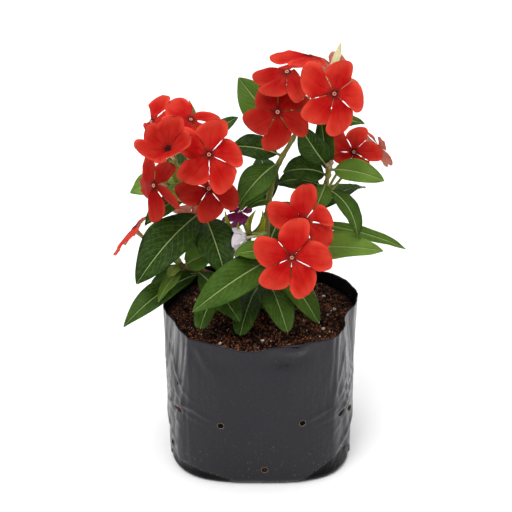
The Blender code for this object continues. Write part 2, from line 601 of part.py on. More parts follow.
def make_soil(lines, material):
    """The root ball, clear of the film all round, with a plain hole for each stem."""
    inset = FILM + SOIL_GAP
    rings = corner_rings(FILM + GAP, inset)
    rings += [ring_at(height, inset) for height in WALL_HEIGHTS]
    for inward in SOIL_RINGS:
        rings.append([(x, y, soil_top(x, y)) for x, y, z in ring_at(SOIL_HEIGHT, inset + inward)])
    points, faces = stack_rings(rings)
    soil = solid("soil", points, faces, material)
    cutters = []
    for spec in STEMS:
        if spec.parent is None:
            root = Vector(spec.points[0])
            above = root + 2 * (Vector(spec.points[1]) - root)
            below = root - unit(above - root) * GAP
            radius = spec.thick + 2 * GAP
            cutters.append(tube("stem_hole", [below, above], (radius, radius), 10, material))
    combine(soil, cutters, "DIFFERENCE")
    return soil


def main():
    for thing in list(bpy.data.objects):
        bpy.data.objects.remove(thing)
    film = new_material("bag_film", (0.035, 0.036, 0.04), 0.35)
    earth = new_material("soil_crumb", (0.03, 0.014, 0.01), 0.95)
    bark = new_material("stem_green", (0.22, 0.25, 0.06), 0.6)
    green = new_material("leaf_green", (0.05, 0.14, 0.02), 0.45)
    scarlet = new_material("petal_scarlet", (0.62, 0.02, 0.015), 0.6)
    purple = new_material("petal_purple", (0.17, 0.02, 0.14), 0.6)
    lines = {}
    for spec in STEMS:
        lines[spec.name] = StemLine(spec, lines)
    make_bag(film)
    make_soil(lines, earth)
    for spec in STEMS:
        make_stem(spec, lines, bark)
    for leaf in LEAVES:
        make_leaf(leaf, lines, green)
    for bloom in BLOOMS:
        make_bloom(bloom, purple if "purple" in bloom.name else scarlet)


main()
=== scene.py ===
"""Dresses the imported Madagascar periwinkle: film bag, potting soil, stems, leaves and blooms.

The tables give every place in whole millimetres, with the origin on the floor under the middle of the
bag, X to the right, Y to the back and Z up.  Meshes are built in metres.
"""
import json
import math
import random
from collections import namedtuple

import bpy
import numpy as np
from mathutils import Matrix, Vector, noise

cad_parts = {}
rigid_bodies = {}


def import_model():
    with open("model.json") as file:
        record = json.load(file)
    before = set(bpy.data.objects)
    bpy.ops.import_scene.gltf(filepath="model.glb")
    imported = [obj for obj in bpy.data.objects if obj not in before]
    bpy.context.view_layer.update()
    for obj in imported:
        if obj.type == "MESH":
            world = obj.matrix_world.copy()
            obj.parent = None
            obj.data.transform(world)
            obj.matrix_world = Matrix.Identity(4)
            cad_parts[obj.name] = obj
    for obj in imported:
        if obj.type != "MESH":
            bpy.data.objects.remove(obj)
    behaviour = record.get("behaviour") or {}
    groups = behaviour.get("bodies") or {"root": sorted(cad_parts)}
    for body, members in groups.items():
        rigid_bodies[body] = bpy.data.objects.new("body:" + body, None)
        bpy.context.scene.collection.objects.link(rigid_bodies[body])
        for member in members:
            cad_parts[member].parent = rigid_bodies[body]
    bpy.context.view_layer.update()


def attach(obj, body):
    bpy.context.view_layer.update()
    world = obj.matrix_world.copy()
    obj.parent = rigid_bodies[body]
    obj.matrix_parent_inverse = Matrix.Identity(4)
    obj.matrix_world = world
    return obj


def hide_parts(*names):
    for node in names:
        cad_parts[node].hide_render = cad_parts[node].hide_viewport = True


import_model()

bl_info = {
    "name": "Potted Periwinkle",
    "version": (1, 0, 0),
    "blender": (4, 5, 0),
    "location": "View3D > Sidebar > Periwinkle",
    "description": "Leaves, blooms, stems, soil and film bag of a potted periwinkle",
    "category": "Object",
}

MM = 0.001

Stem = namedtuple("Stem", "name parent thick thin points")
Leaf = namedtuple("Leaf", "name stem at tip face width arch tone point", defaults=[0.0, 0.8])
Bloom = namedtuple("Bloom", "name stem at eye face tube lobes lap", defaults=[1.7])
Lobe = namedtuple("Lobe", "turn reach width lift twist", defaults=[8])
Twig = namedtuple("Twig", "stem at tip bow radii skin")

# A stem starts in the soil, or on its parent at a fraction of the parent's length
STEMS = [
    Stem("main_stem", None, 2.7, 1.2, [(-7, 15, 83), (-6, 14, 97), (1, 12, 118), (4, 11, 150), (6, 10, 178),
                                       (11, 8, 199), (20, 6, 217), (27, 5, 232), (30, 6, 242)]),
    Stem("left_branch", ("main_stem", 0.16), 1.9, 1.2, [(-14, 12, 121), (-25, 9, 142), (-34, 6, 160),
                                                        (-40, 2, 180), (-43, -2, 203)]),
    Stem("right_branch", ("main_stem", 0.25), 1.9, 1.3, [(12, 15, 129), (22, 14, 142), (32, 11, 158),
                                                         (40, 8, 179), (43, 5, 193), (44, 2, 203)]),
    Stem("low_branch", ("main_stem", 0.12), 1.7, 1.0, [(-13, 6, 113), (-24, 0, 123), (-36, -4, 130),
                                                       (-46, -7, 133), (-54, -10, 139)]),
    Stem("front_branch", ("main_stem", 0.21), 1.7, 1.2, [(4, 3, 126), (8, -6, 138), (13, -14, 149),
                                                         (17, -20, 156)]),
    Stem("purple_stem", None, 1.9, 1.1, [(-14, 24, 83), (-14, 23, 97), (-12, 17, 122), (-8, 9, 143),
                                         (-6, 2, 155)]),
]

# Each leaf: where it leaves its stem, its tip, the way its upper side looks, its width, its arch, how
# light and yellow it is, and how pointed its tip is. On some leaves, such as leaf_tip_right and
# leaf_crown_left, the lightness is partly painted sheen
LEAVES = [
    Leaf("leaf_crown_left", "main_stem", 0.84, (-14, 18, 254), (-3, -9, 3), 25, 5, 0.55),
    Leaf("leaf_crown_flat", "main_stem", 0.76, (-20, 8, 212), (-1, -6, 7), 18, 4, 0.0),
    Leaf("leaf_crown_hang", "main_stem", 0.73, (-14, -22, 184), (-3, -8, 6), 20, 5, 0.25),
    Leaf("leaf_crown_right", "main_stem", 0.93, (65, 2, 229), (2, -5, 8), 14, 3, 0.3),
    Leaf("leaf_crown_back", "main_stem", 0.88, (10, 56, 236), (0, 3, 9), 22, 6, 0.1),
    Leaf("leaf_main_grey", "main_stem", 0.61, (-13, -14, 177), (-2, -5, 8), 15, 7, 0.6),
    Leaf("leaf_main_back", "main_stem", 0.52, (0, 52, 190), (0, 3, 9), 18, 6, 0.0),
    Leaf("leaf_main_back_low", "main_stem", 0.32, (24, 62, 152), (2, 4, 8), 24, 8, 0.1),
    Leaf("leaf_tip_upright", "right_branch", 0.97, (24, -6, 230), (-3, -8, 3), 18, 2, 0.1),
    Leaf("leaf_tip_behind", "right_branch", 0.90, (38, 14, 230), (1, -8, 3), 13, 2, 0.2),
    Leaf("leaf_tip_right", "right_branch", 0.95, (77, -14, 197), (1, -7, 7), 17, 4, 0.85),
    Leaf("leaf_tip_left", "right_branch", 0.90, (14, -1, 198), (0, -6, 8), 21, 5, 0.1),
    Leaf("leaf_right_hang", "right_branch", 0.80, (62, -12, 157), (5, -6, 6), 15, 8, 0.3),
    Leaf("leaf_right_narrow", "right_branch", 0.50, (97, 14, 138), (3, -6, 8), 9.6, 5, 0.7),
    Leaf("leaf_right_broad", "right_branch", 0.24, (78, -18, 151), (1, -6, 8), 22, 5, 0.9),
    Leaf("leaf_right_back", "right_branch", 0.56, (72, 50, 168), (3, 4, 8), 22, 6, 0.1),
    Leaf("leaf_left_big", "left_branch", 0.67, (-77, -44, 140), (-3.5, -9, 5), 30, 7, 0.0, 0.8),
    Leaf("leaf_left_inner", "left_branch", 0.63, (-22, -32, 140), (1, -8, 5), 26, 6, 0.0),
    Leaf("leaf_left_high", "left_branch", 0.97, (-14, 16, 229), (-1, -5, 8), 14, 9, 0.2),
    Leaf("leaf_left_outer", "left_branch", 0.93, (-84, 4, 182), (-3, -6, 7), 19, 5, 0.9),
    Leaf("leaf_left_mid", "left_branch", 0.82, (-74, -10, 165), (-4, -6, 6), 14, 5, 0.2),
    Leaf("leaf_left_back", "left_branch", 0.78, (-66, 44, 196), (-3, 4, 8), 22, 5, 0.1),
    Leaf("leaf_left_back_low", "left_branch", 0.36, (-22, 64, 130), (-2, 4, 8), 22, 7, 0.1),
    Leaf("leaf_low_outer", "low_branch", 0.72, (-87, -40, 108), (-4, -6, 8), 19, 7, 0.2),
    Leaf("leaf_low_inner", "low_branch", 0.76, (-13, -42, 113), (1, -6, 8), 20, 5, 0.2, 0.6),
    Leaf("leaf_low_round", "low_branch", 0.45, (-38, -46, 110), (-2, -6, 8), 17, 5, 0.2, 0.3),
    Leaf("leaf_low_behind", "low_branch", 0.92, (-31, -8, 145), (-1, -8, 6), 17, 3, 0.7),
    Leaf("leaf_front_big", "front_branch", 0.68, (-42, -56, 127), (-1, -8, 6), 24, 8, 0.3),
    Leaf("leaf_front_light", "front_branch", 0.84, (-17, -30, 154), (-1, -5, 8), 15, 2, 0.7),
    Leaf("leaf_front_left", "main_stem", 0.18, (-13, -42, 103), (-1, -6, 8), 19, 6, 0.1, 0.35),
    Leaf("leaf_front_middle", "front_branch", 0.24, (17, -47, 108), (1, -8, 5), 21, 5, 0.2, 0.5),
    Leaf("leaf_front_right", "front_branch", 0.55, (37, -34, 108), (2, -7, 6), 18, 6, 0.3, 0.6),
]

# Small young leaves that have no node of their own
SPROUTS = [
    Leaf("sprout_right", "right_branch", 0.84, (34, -10, 174), (1, -7, 6), 14, 3, 0.5),
    Leaf("sprout_right_left", "right_branch", 0.80, (10, 14, 184), (-1, -6, 8), 15, 7, 0.2),
    Leaf("sprout_low_narrow", "low_branch", 0.91, (-64.5, -38, 125), (-4, -8, 2), 10, 3, 0.9),
    Leaf("sprout_low_tip", "low_branch", 0.97, (-59, -22, 134), (-2, -6, 7), 8, 1, 2.0),
    Leaf("sprout_low_top", "low_branch", 0.95, (-57, -12, 145), (-3, -8, 3), 5, 1, 1.4),
    Leaf("sprout_low_back", "low_branch", 0.72, (-72, -6, 122), (-3, -8, 4), 17, 3, 0.15),
    Leaf("sprout_left_under", "left_branch", 0.42, (-51, 14, 130), (-2, -8, 4), 13, 3, 0.3),
    Leaf("sprout_low_pale", "low_branch", 0.40, (-29, -3, 134), (-1, -7, 6), 6, 1, 0.9),
    Leaf("sprout_left_fore", "left_branch", 0.86, (-57, -12, 209), (-2, -8, 5), 13, 2, 1.3),
    Leaf("sprout_left_low", "left_branch", 0.72, (-60, -10, 192), (-1, -7, 7), 11, 2, 1.4),
    Leaf("sprout_main", "main_stem", 0.56, (-8, -8, 176), (-1, -5, 8), 13, 3, 0.6),
    Leaf("sprout_foot", "main_stem", 0.14, (5, -4, 100), (1, -5, 8), 8, 3, 1.2),
]

# Each bloom: where its stalk leaves, its eye, the way it looks, the length of its tube, and its lobes with
# their turn clockwise from the top, reach, width, lift towards the viewer and twist, in degrees, and how
# far its lobes lap over one another
BLOOMS = [
    Bloom("bloom_front", "front_branch", 0.97, (19, -46, 159), (0, -9, 4), 18, [
        Lobe(83, 24.5, 19.5, 4), Lobe(151, 25, 19.6, 0), Lobe(214, 24.5, 18.3, 0),
        Lobe(279, 24.3, 19.2, 0), Lobe(362, 24.7, 19.2, 0)]),
    Bloom("bloom_second", "front_branch", 0.94, (27, -30, 177), (1, -8, 5), 16.5, [
        Lobe(85, 18, 17.8, 35), Lobe(127, 21.4, 18, 5), Lobe(208, 20, 16, 5), Lobe(282, 24, 17, 0),
        Lobe(359, 23.3, 17, 0)]),
    Bloom("bloom_crown_big", "main_stem", 0.96, (43, -33, 258.6), (0, -9, 3), 17.5, [
        Lobe(7, 20, 16, 20), Lobe(97, 19.6, 18, 40), Lobe(166, 24, 18, 0), Lobe(216, 22.4, 18.6, 0),
        Lobe(300, 23.6, 19.5, 0)]),
    Bloom("bloom_crown_low", "main_stem", 0.88, (10, -22, 244), (0, -8, 3), 16.5, [
        Lobe(48, 20, 17, -5), Lobe(116, 21.5, 14, 12), Lobe(179, 23.3, 18.5, 0),
        Lobe(238, 20.3, 18.5, 8), Lobe(318, 19, 17, -12)]),
    Bloom("bloom_crown_high", "main_stem", 0.97, (15.6, -14, 266.4), (-1, -6, 7), 15, [
        Lobe(76, 12, 10, -50), Lobe(143, 21, 13, 0), Lobe(209, 19.5, 17.5, 0), Lobe(253, 21.2, 12.5, -5),
        Lobe(356, 12, 13, -30)]),
    Bloom("bloom_crown_top", "main_stem", 0.99, (30, 4, 271.8), (0, 0.6, 9), 15, [
        Lobe(50, 15, 12, -28), Lobe(118, 13, 10, -20), Lobe(212, 16, 15, -14),
        Lobe(280, 25.6, 16, -2, 22), Lobe(340, 18, 14, -32)]),
    Bloom("bloom_crown_back", "main_stem", 0.95, (45, 32, 248), (2, 9, 2), 13, [
        Lobe(28, 20, 14, 5), Lobe(104, 18, 16, 0), Lobe(176, 18, 16, 0), Lobe(248, 18, 16, 0),
        Lobe(336, 21.5, 15, 0)]),
    Bloom("bloom_right_low", "right_branch", 0.62, (59.8, 14, 206), (1, -8, 4), 13.7, [
        Lobe(8, 16.5, 14, 20), Lobe(86, 19, 13.5, 0), Lobe(160, 18, 16, 0), Lobe(246, 14, 9, 0),
        Lobe(300, 20, 16, 8)]),
    Bloom("bloom_right_out", "right_branch", 0.62, (77, 25, 206), (8, 3, 5), 11.5, [
        Lobe(12, 16, 14, 0), Lobe(84, 16, 14, 0), Lobe(156, 16, 14, 0), Lobe(228, 16, 14, 0),
        Lobe(300, 11, 10, 20)]),
    Bloom("bloom_left_cup", "left_branch", 0.99, (-55, -40, 227), (-2, -6, 7), 15, [
        Lobe(68, 20, 15, 42), Lobe(146, 20, 17, 50), Lobe(233, 20.4, 15.4, 45), Lobe(293, 18, 14, 36),
        Lobe(356, 19.5, 19, 40)], 4.5),
    Bloom("bloom_left_big", "left_branch", 0.97, (-31, -33, 221), (0, -9, 4), 16.5, [
        Lobe(3, 21, 20, 15), Lobe(83, 19.7, 18.6, 0), Lobe(145, 24, 19.4, 0), Lobe(214, 22.2, 19, 10),
        Lobe(297, 22.5, 16.8, -3)]),
    Bloom("bloom_left_drop", "left_branch", 0.93, (-65, -30, 200), (-5, -8, 3), 15, [
        Lobe(26, 18.3, 13.4, 5), Lobe(106, 23, 10.5, 10, -28), Lobe(162, 22.3, 12.2, 0),
        Lobe(244, 20, 15.8, -28), Lobe(319, 20, 12.2, -5)]),
    Bloom("bloom_left_under", "left_branch", 0.90, (-32, -22, 195), (0, -9, 3), 16, [
        Lobe(38, 20, 15, 5), Lobe(109, 20.3, 16, 5), Lobe(172, 20.4, 17.6, 5), Lobe(251, 20.2, 16.6, 5),
        Lobe(325, 19, 15, 15)]),
    Bloom("bloom_left_behind", "left_branch", 0.99, (-69, 12, 227), (-5, -7, 5), 13, [
        Lobe(75, 16, 14, 0), Lobe(150, 16, 14, -5), Lobe(222, 12, 12, -35), Lobe(292, 13, 12, -55),
        Lobe(358, 18.5, 17, 0)]),
    Bloom("bloom_left_high", "left_branch", 0.99, (-43, -6, 234), (2, -4, 9), 13.7, [
        Lobe(48, 20, 12.5, -2), Lobe(112, 17, 13, -12), Lobe(172, 18, 15, -8), Lobe(245, 17, 15, -5),
        Lobe(312, 21.4, 19, 0)]),
    Bloom("bloom_left_out", "left_branch", 0.48, (-81, -12, 164), (-7, 2, 6), 15, [
        Lobe(6, 12, 12, 5), Lobe(78, 21, 19, 0), Lobe(150, 21, 19, 0), Lobe(222, 21, 19, 0),
        Lobe(294, 14, 13, 0)]),
    Bloom("bloom_left_back", "left_branch", 0.56, (-46, 24, 158), (-1, 8, 4), 14.5, [
        Lobe(36, 14, 13, 0), Lobe(108, 16, 15, 0), Lobe(180, 21.5, 14, 0), Lobe(252, 16, 15, 0),
        Lobe(324, 14, 13, 0)]),
    Bloom("bloom_purple_folded", "purple_stem", 0.99, (-9, -16, 159), (-8, 2, -3), 8.6, [
        Lobe(0, 11, 9, 45), Lobe(62, 12, 11, 45), Lobe(128, 15.5, 15, 40, 0), Lobe(200, 12, 10, 45),
        Lobe(288, 12, 10, 45)]),
    Bloom("bloom_purple_open", "purple_stem", 0.90, (-13, 6, 168), (-2, -3, 9), 8.6, [
        Lobe(20, 8.5, 9, 26), Lobe(96, 8.5, 9, 26), Lobe(178, 13, 15, 4), Lobe(244, 13, 8, 0),
        Lobe(308, 8.5, 9, 26)]),
]

# Skins of stems, buds and pods
BROWN = (0.17, 0.09, 0.035)
OLIVE = (0.24, 0.22, 0.05)
GREEN = (0.20, 0.30, 0.07)
CREAM = (0.72, 0.66, 0.38)
BLUSH = (0.50, 0.34, 0.28)
TAN = (0.45, 0.36, 0.16)
POD = (0.34, 0.37, 0.02)
WITHERED = (0.20, 0.006, 0.005)

# Unopened buds and seed pods, with (radius, radius, ...) from root to tip
TWIGS = [
    Twig("main_stem", 0.99, (50, 22, 275.5), (3, 0, 0), (0.9, 1.0, 1.2, 2.2, 2.4, 0.5), CREAM),
    Twig("left_branch", 0.99, (-45, 15, 240), (3, 6, 0), (0.9, 1.0, 1.0, 1.6, 1.7, 0.5), OLIVE),
    Twig("purple_stem", 0.96, (-22.6, -9, 175), (-3, -2, -5), (0.9, 1.6, 2.0, 1.8, 1.3, 0.4), POD),
    Twig("purple_stem", 0.99, (-3, -6, 174), (-3, -3, 0), (0.9, 1.5, 1.8, 1.7, 1.2, 0.4), POD),
    Twig("purple_stem", 0.98, (3, -9, 170), (1, -1, -4), (0.9, 1.6, 2.0, 1.9, 1.3, 0.4), POD),
    Twig("purple_stem", 0.97, (-14, -12, 168), (-3, -4, -1), (0.8, 1.3, 1.6, 1.5, 1.1, 0.4), POD),
    Twig("purple_stem", 0.99, (-8, -9, 169.5), (-1, -4, 0), (0.8, 1.2, 1.5, 1.4, 1.0, 0.4), POD),
    Twig("purple_stem", 0.99, (1, -4, 173), (3, -3, 0), (0.7, 1.0, 1.3, 1.2, 0.9, 0.3), POD),
    Twig("left_branch", 0.66, (-43.5, 12, 139), (0, 0, 0), (0.6, 0.8, 2.0, 4.2, 4.4, 0.5), WITHERED),
    Twig("low_branch", 0.99, (-57, -13, 148), (0, 0, 0), (0.5, 0.5, 0.7, 0.8, 0.6, 0.3), TAN),
    Twig("low_branch", 0.99, (-52, -12, 147), (0, 0, 0), (0.5, 0.5, 0.7, 0.8, 0.6, 0.3), GREEN),
    Twig("right_branch", 0.99, (45, -4, 206), (0, 0, 0), (1.0, 1.3, 1.7, 1.6, 1.2, 0.4), BLUSH),
    Twig("right_branch", 0.99, (41, -5, 204), (0, 0, 0), (1.0, 1.2, 1.5, 1.4, 1.0, 0.4), BLUSH),
    Twig("right_branch", 0.99, (43, -6, 202), (0, 0, 0), (1.0, 1.2, 1.4, 1.3, 0.9, 0.4), TAN),
]

# Clear space where a branch leaves its stem, and how far a stalk sinks into it
FORK_GAP = 0.7
FORK_REACH = 5.0
SUNK = 0.4


def even_turns(sides):
    """Angles spread evenly round a circle."""
    return [2 * math.pi * side / sides for side in range(sides)]


def polar(radius, angle, level):
    """The point at a radius and an angle about the bag's middle line, at a level."""
    return Vector((radius * math.cos(angle), radius * math.sin(angle), level))


def square_to(vector, axis):
    """The part of a vector that stands square to an axis."""
    return (vector - vector.dot(axis) * axis).normalized()


def smooth_path(points, per_span):
    """Points along a smooth curve through the given ones."""
    points = [Vector(point) for point in points]
    ends = [2 * points[0] - points[1]] + points + [2 * points[-1] - points[-2]]
    path = []
    for before, start, end, after in zip(ends, ends[1:], ends[2:], ends[3:]):
        for step in range(per_span):
            t = step / per_span
            path.append(0.5 * (2 * start + (end - before) * t
                               + (2 * before - 5 * start + 4 * end - after) * t ** 2
                               + (3 * start - before - 3 * end + after) * t ** 3))
    path.append(points[-1])
    return path


def bow_path(start, control, end, steps):
    """Points along a parabola that leaves the start towards the control point."""
    return [(1 - t) ** 2 * start + 2 * t * (1 - t) * control + t ** 2 * end
            for t in (step / steps for step in range(steps + 1))]


def read_evenly(values, share):
    """A run of evenly spaced values, read at a share of its length."""
    place = share * (len(values) - 1)
    low = min(int(place), len(values) - 2)
    return values[low] + (values[low + 1] - values[low]) * (place - low)


def read_table(table, place):
    """A table of (place, value) pairs in rising order, read between its entries."""
    if place <= table[0][0]:
        return table[0][1]
    for (low, first), (high, second) in zip(table, table[1:]):
        if place <= high:
            return first + (second - first) * (place - low) / (high - low)
    return table[-1][1]


def smooth_share(value, low, high):
    """0 below the low value, 1 above the high one, and a soft step between them."""
    share = max(0.0, min(1.0, (value - low) / (high - low)))
    return share * share * (3 - 2 * share)


class StemLine:
    """The centre line of a stem, with its radius along it."""

    def __init__(self, spec, lines):
        points = [Vector(point) for point in spec.points]
        if spec.parent:
            name, at = spec.parent
            centre, along, radius = lines[name].read(at)
            away = square_to(points[0] - centre, along)
            points = [centre + away * (radius + FORK_GAP), centre + away * (radius + FORK_REACH)] + points
        self.spec = spec
        self.points = points
        self.path = smooth_path(points, 2)
        last = len(self.path) - 1
        self.radii = [spec.thick + (spec.thin - spec.thick) * i / last for i in range(last + 1)]
        steps = [(b - a).length for a, b in zip(self.path, self.path[1:])]
        self.length = sum(steps)
        self.marks = [sum(steps[:i]) / self.length for i in range(len(self.path))]

    def read(self, at):
        """The centre, the direction and the radius at a fraction of the length."""
        for i in range(len(self.path) - 1):
            if at <= self.marks[i + 1] or i == len(self.path) - 2:
                t = (at - self.marks[i]) / (self.marks[i + 1] - self.marks[i])
                centre = self.path[i].lerp(self.path[i + 1], t)
                along = (self.path[i + 1] - self.path[i]).normalized()
                return centre, along, self.radii[i] + (self.radii[i + 1] - self.radii[i]) * t


def stem_lines():
    """The centre lines of all stems by name, each parent before its branches."""
    lines = {}
    for spec in STEMS:
        lines[spec.name] = StemLine(spec, lines)
    return lines


class Shape:
    """Closed shells that become one mesh piece, with the data that its finishes read."""

    def __init__(self):
        self.points = []
        self.faces = []
        self.finish = []
        self.place = []
        self.data = {}

    def add_shell(self, points, faces, finish, place=None, **data):
        """Adds one closed shell, turned so that its faces point outwards."""
        volume = 0.0
        for face in faces:
            first = points[face[0]]
            for second, third in zip(face[1:], face[2:]):
                volume += first.dot(points[second].cross(points[third]))
        if volume < 0:
            faces = [tuple(reversed(face)) for face in faces]
        start = len(self.points)
        self.points += points
        self.faces += [tuple(number + start for number in face) for face in faces]
        self.finish += finish
        self.place += place or [(0.5, 0.5)] * len(points)
        for name, values in data.items():
            column = self.data.setdefault(name, [])
            column += [0.0] * (start - len(column))
            column += values

    def add_rings(self, first, rings, last, finish=None):
        """Adds a closed body from its first pole over its rings to its last pole."""
        points = [first] + [point for ring in rings for point in ring] + [last]
        faces = ring_faces(len(rings), len(rings[0]))
        self.add_shell(points, faces, finish or [0] * len(faces))

    def make(self, name, materials):
        """The mesh object, with its place map and its point data."""
        mesh = bpy.data.meshes.new(name)
        mesh.from_pydata([point * MM for point in self.points], [], self.faces)
        for material in materials:
            mesh.materials.append(material)
        mesh.polygons.foreach_set("material_index", self.finish)
        mesh.polygons.foreach_set("use_smooth", [True] * len(mesh.polygons))
        corners = np.empty(len(mesh.loops), dtype=np.int32)
        mesh.loops.foreach_get("vertex_index", corners)
        layer = mesh.uv_layers.new(name="place")
        layer.data.foreach_set("uv", np.array(self.place, dtype=np.float32)[corners].ravel())
        for key, values in self.data.items():
            values = values + [0.0] * (len(self.points) - len(values))
            column = mesh.attributes.new(key, "FLOAT", "POINT")
            column.data.foreach_set("value", values)
        mesh.update()
        return link_object(name, mesh)


def link_object(name, mesh):
    """An object that shows the mesh in the scene."""
    thing = bpy.data.objects.new(name, mesh)
    bpy.context.scene.collection.objects.link(thing)
    return thing


def claim(piece, nodes):
    """The piece moves with the plant and stands for its nodes, which are hidden."""
    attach(piece, "root")
    if nodes:
        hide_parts(*nodes)


def sheet_faces(rows, cols):
    """Faces of a thin closed sheet: an upper grid of corners, a lower one and the rim between them."""
    count = rows * cols
    upper = []
    for row in range(rows - 1):
        for col in range(cols - 1):
            first = row * cols + col
            upper.append((first, first + 1, first + cols + 1, first + cols))
    lower = [tuple(count + number for number in reversed(quad)) for quad in upper]
    border = list(range(cols))
    border += [row * cols + cols - 1 for row in range(1, rows)]
    border += [(rows - 1) * cols + col for col in range(cols - 2, -1, -1)]
    border += [row * cols for row in range(rows - 2, 0, -1)]
    rim = [(b, a, a + count, b + count) for a, b in zip(border, border[1:] + border[:1])]
    return upper + lower + rim, [0] * len(upper) + [1] * len(lower) + [0] * len(rim)


def ring_faces(rings, sides):
    """Faces of a closed body whose first and last corners are the poles of its rings."""
    faces = []
    for side in range(sides):
        beside = (side + 1) % sides
        faces.append((0, 1 + beside, 1 + side))
        last = 1 + (rings - 1) * sides
        faces.append((last + side, last + beside, 1 + rings * sides))
        for ring in range(rings - 1):
            here = 1 + ring * sides
            faces.append((here + side, here + beside, here + sides + beside, here + sides + side))
    return faces


# Node recipes

class Recipe:
    """A node tree with short calls that add to it."""

    def __init__(self, tree):
        self.tree = tree

    def feed(self, socket, value):
        """Links an output to a socket, or sets the socket's own value."""
        if isinstance(value, bpy.types.NodeSocket):
            self.tree.links.new(value, socket)
        else:
            socket.default_value = value

    def node(self, kind, inputs=None, **settings):
        """Adds a node with its settings and what feeds its inputs."""
        node = self.tree.nodes.new(kind)
        for setting, value in settings.items():
            setattr(node, setting, value)
        for socket, value in (inputs or {}).items():
            self.feed(node.inputs[socket], value)
        return node

    def calc(self, operation, first, second=0.0, third=0.0):
        """One step of arithmetic."""
        return self.node("ShaderNodeMath", {0: first, 1: second, 2: third}, operation=operation).outputs[0]

    def soft_step(self, value, low, high, bottom=0.0, top=1.0):
        """The bottom value below the low place, the top one above the high place."""
        return self.node("ShaderNodeMapRange", {0: value, 1: low, 2: high, 3: bottom, 4: top},
                         interpolation_type="SMOOTHSTEP").outputs[0]


class Finish(Recipe):
    """A material on the principled shader, in the object's own metres unless told otherwise."""

    def __init__(self, name, roughness, **sockets):
        self.material = bpy.data.materials.new(name)
        self.material.use_nodes = True
        super().__init__(self.material.node_tree)
        self.sockets = self.tree.nodes["Principled BSDF"].inputs
        self.sockets["Roughness"].default_value = roughness
        for socket, value in sockets.items():
            self.sockets[socket.replace("_", " ")].default_value = value
        self.where = self.node("ShaderNodeTexCoord").outputs["Object"]

    def sheet_place(self):
        """The place along and across a leaf or a petal, each from 0 to 1."""
        uv = self.node("ShaderNodeUVMap", uv_map="place").outputs[0]
        split = self.node("ShaderNodeSeparateXYZ", {0: uv})
        return split.outputs[0], split.outputs[1]

    def point_data(self, name, output="Fac"):
        """What the mesh's points carry under a name."""
        return self.node("ShaderNodeAttribute", attribute_name=name, attribute_type="GEOMETRY").outputs[output]

    def vector(self, x, y, z=0.0):
        """Three values as one place."""
        return self.node("ShaderNodeCombineXYZ", {0: x, 1: y, 2: z}).outputs[0]

    def grain(self, scale, detail, stretch=None, where=None):
        """Noise at a scale in bumps per metre, or per unit of the place that is given."""
        if where is None:
            where = self.where
        if stretch:
            where = self.node("ShaderNodeMapping", {0: where, 3: stretch}).outputs[0]
        return self.node("ShaderNodeTexNoise", {"Vector": where, "Scale": scale, "Detail": detail}).outputs[0]

    def blend(self, share, first, second):
        """The first colour at a share of 0, the second at 1."""
        return self.node("ShaderNodeMix", {0: share, 6: first, 7: second}, data_type="RGBA").outputs[2]

    def ramp(self, value, stops):
        """Colours at rising places between 0 and 1."""
        node = self.node("ShaderNodeValToRGB", {0: value})
        band = node.color_ramp
        while len(band.elements) < len(stops):
            band.elements.new(1.0)
        for element, (place, colour) in zip(band.elements, stops):
            element.position = place
            element.color = (*colour, 1.0)
        return node.outputs[0]

    def paint(self, colour):
        """Gives the surface its colour."""
        self.feed(self.sockets["Base Color"], colour)

    def raise_skin(self, height, distance, before=None):
        """Bumps of a height in metres for each unit of the pattern."""
        inputs = {"Height": height, "Distance": distance, "Strength": 1.0}
        if before:
            inputs["Normal"] = before
        return self.node("ShaderNodeBump", inputs).outputs[0]

    def wear(self, normal):
        """Gives the surface its bumps."""
        self.feed(self.sockets["Normal"], normal)


def opaque(colour, factor=1.0):
    """A colour made darker or lighter by a factor, with its opacity."""
    return (colour[0] * factor, colour[1] * factor, colour[2] * factor, 1.0)


# Bag film: an 8 inch lay-flat bag opened to a round mouth over a squarer base
MOUTH_RADIUS = 65.0
BASE_HALF_WIDTH = 62.0
BASE_HALF_DEPTH = 57.5
BASE_SQUARENESS = 1.1
RIM_HEIGHT = 104.0
BASE_ROUNDING = 4.0
FILM_SIDES = 300
WALL_ROWS = 92
BASE_SCALES = (0.15, 0.4, 0.65, 0.85, 1.0)

# The upright creases at the corners: their angle and how far they stand out, and their spread in degrees
CREASES = ((-133, 1.5), (-45, 1.5), (45, 1.5), (135, 1.5))
CREASE_SPREAD = 6.0

# The two long waves of the cut edge
RIM_SADDLE = 1.6
RIM_THREE_WAVES = 1.3

# Rise of the cut edge over the plain rim, in mm, by the angle round the bag from +X in degrees
RIM_LIFTS = ((-165, 0), (-150, 0.5), (-135, 0), (-120, 0.4), (-112, 0.6), (-104, -0.4), (-97, -0.8),
             (-92, 0.2), (-84, 2.6), (-75, 4.4), (-60, 4.2), (-50, 2.8), (-42, 2.0), (-20, 0.8), (0, 0),
             (92, 0), (108, 3.2), (132, 3.6), (152, 0.6), (180, 0))

# Gussets that fold inwards under the rim: angle, depth at the rim, spread in degrees, height where they end
GUSSET_DENTS = ((-18, 6.6, 13, 20), (-158, 3.2, 12, 30), (30, -2.0, 20, 60), (160, 2.5, 12, 40))

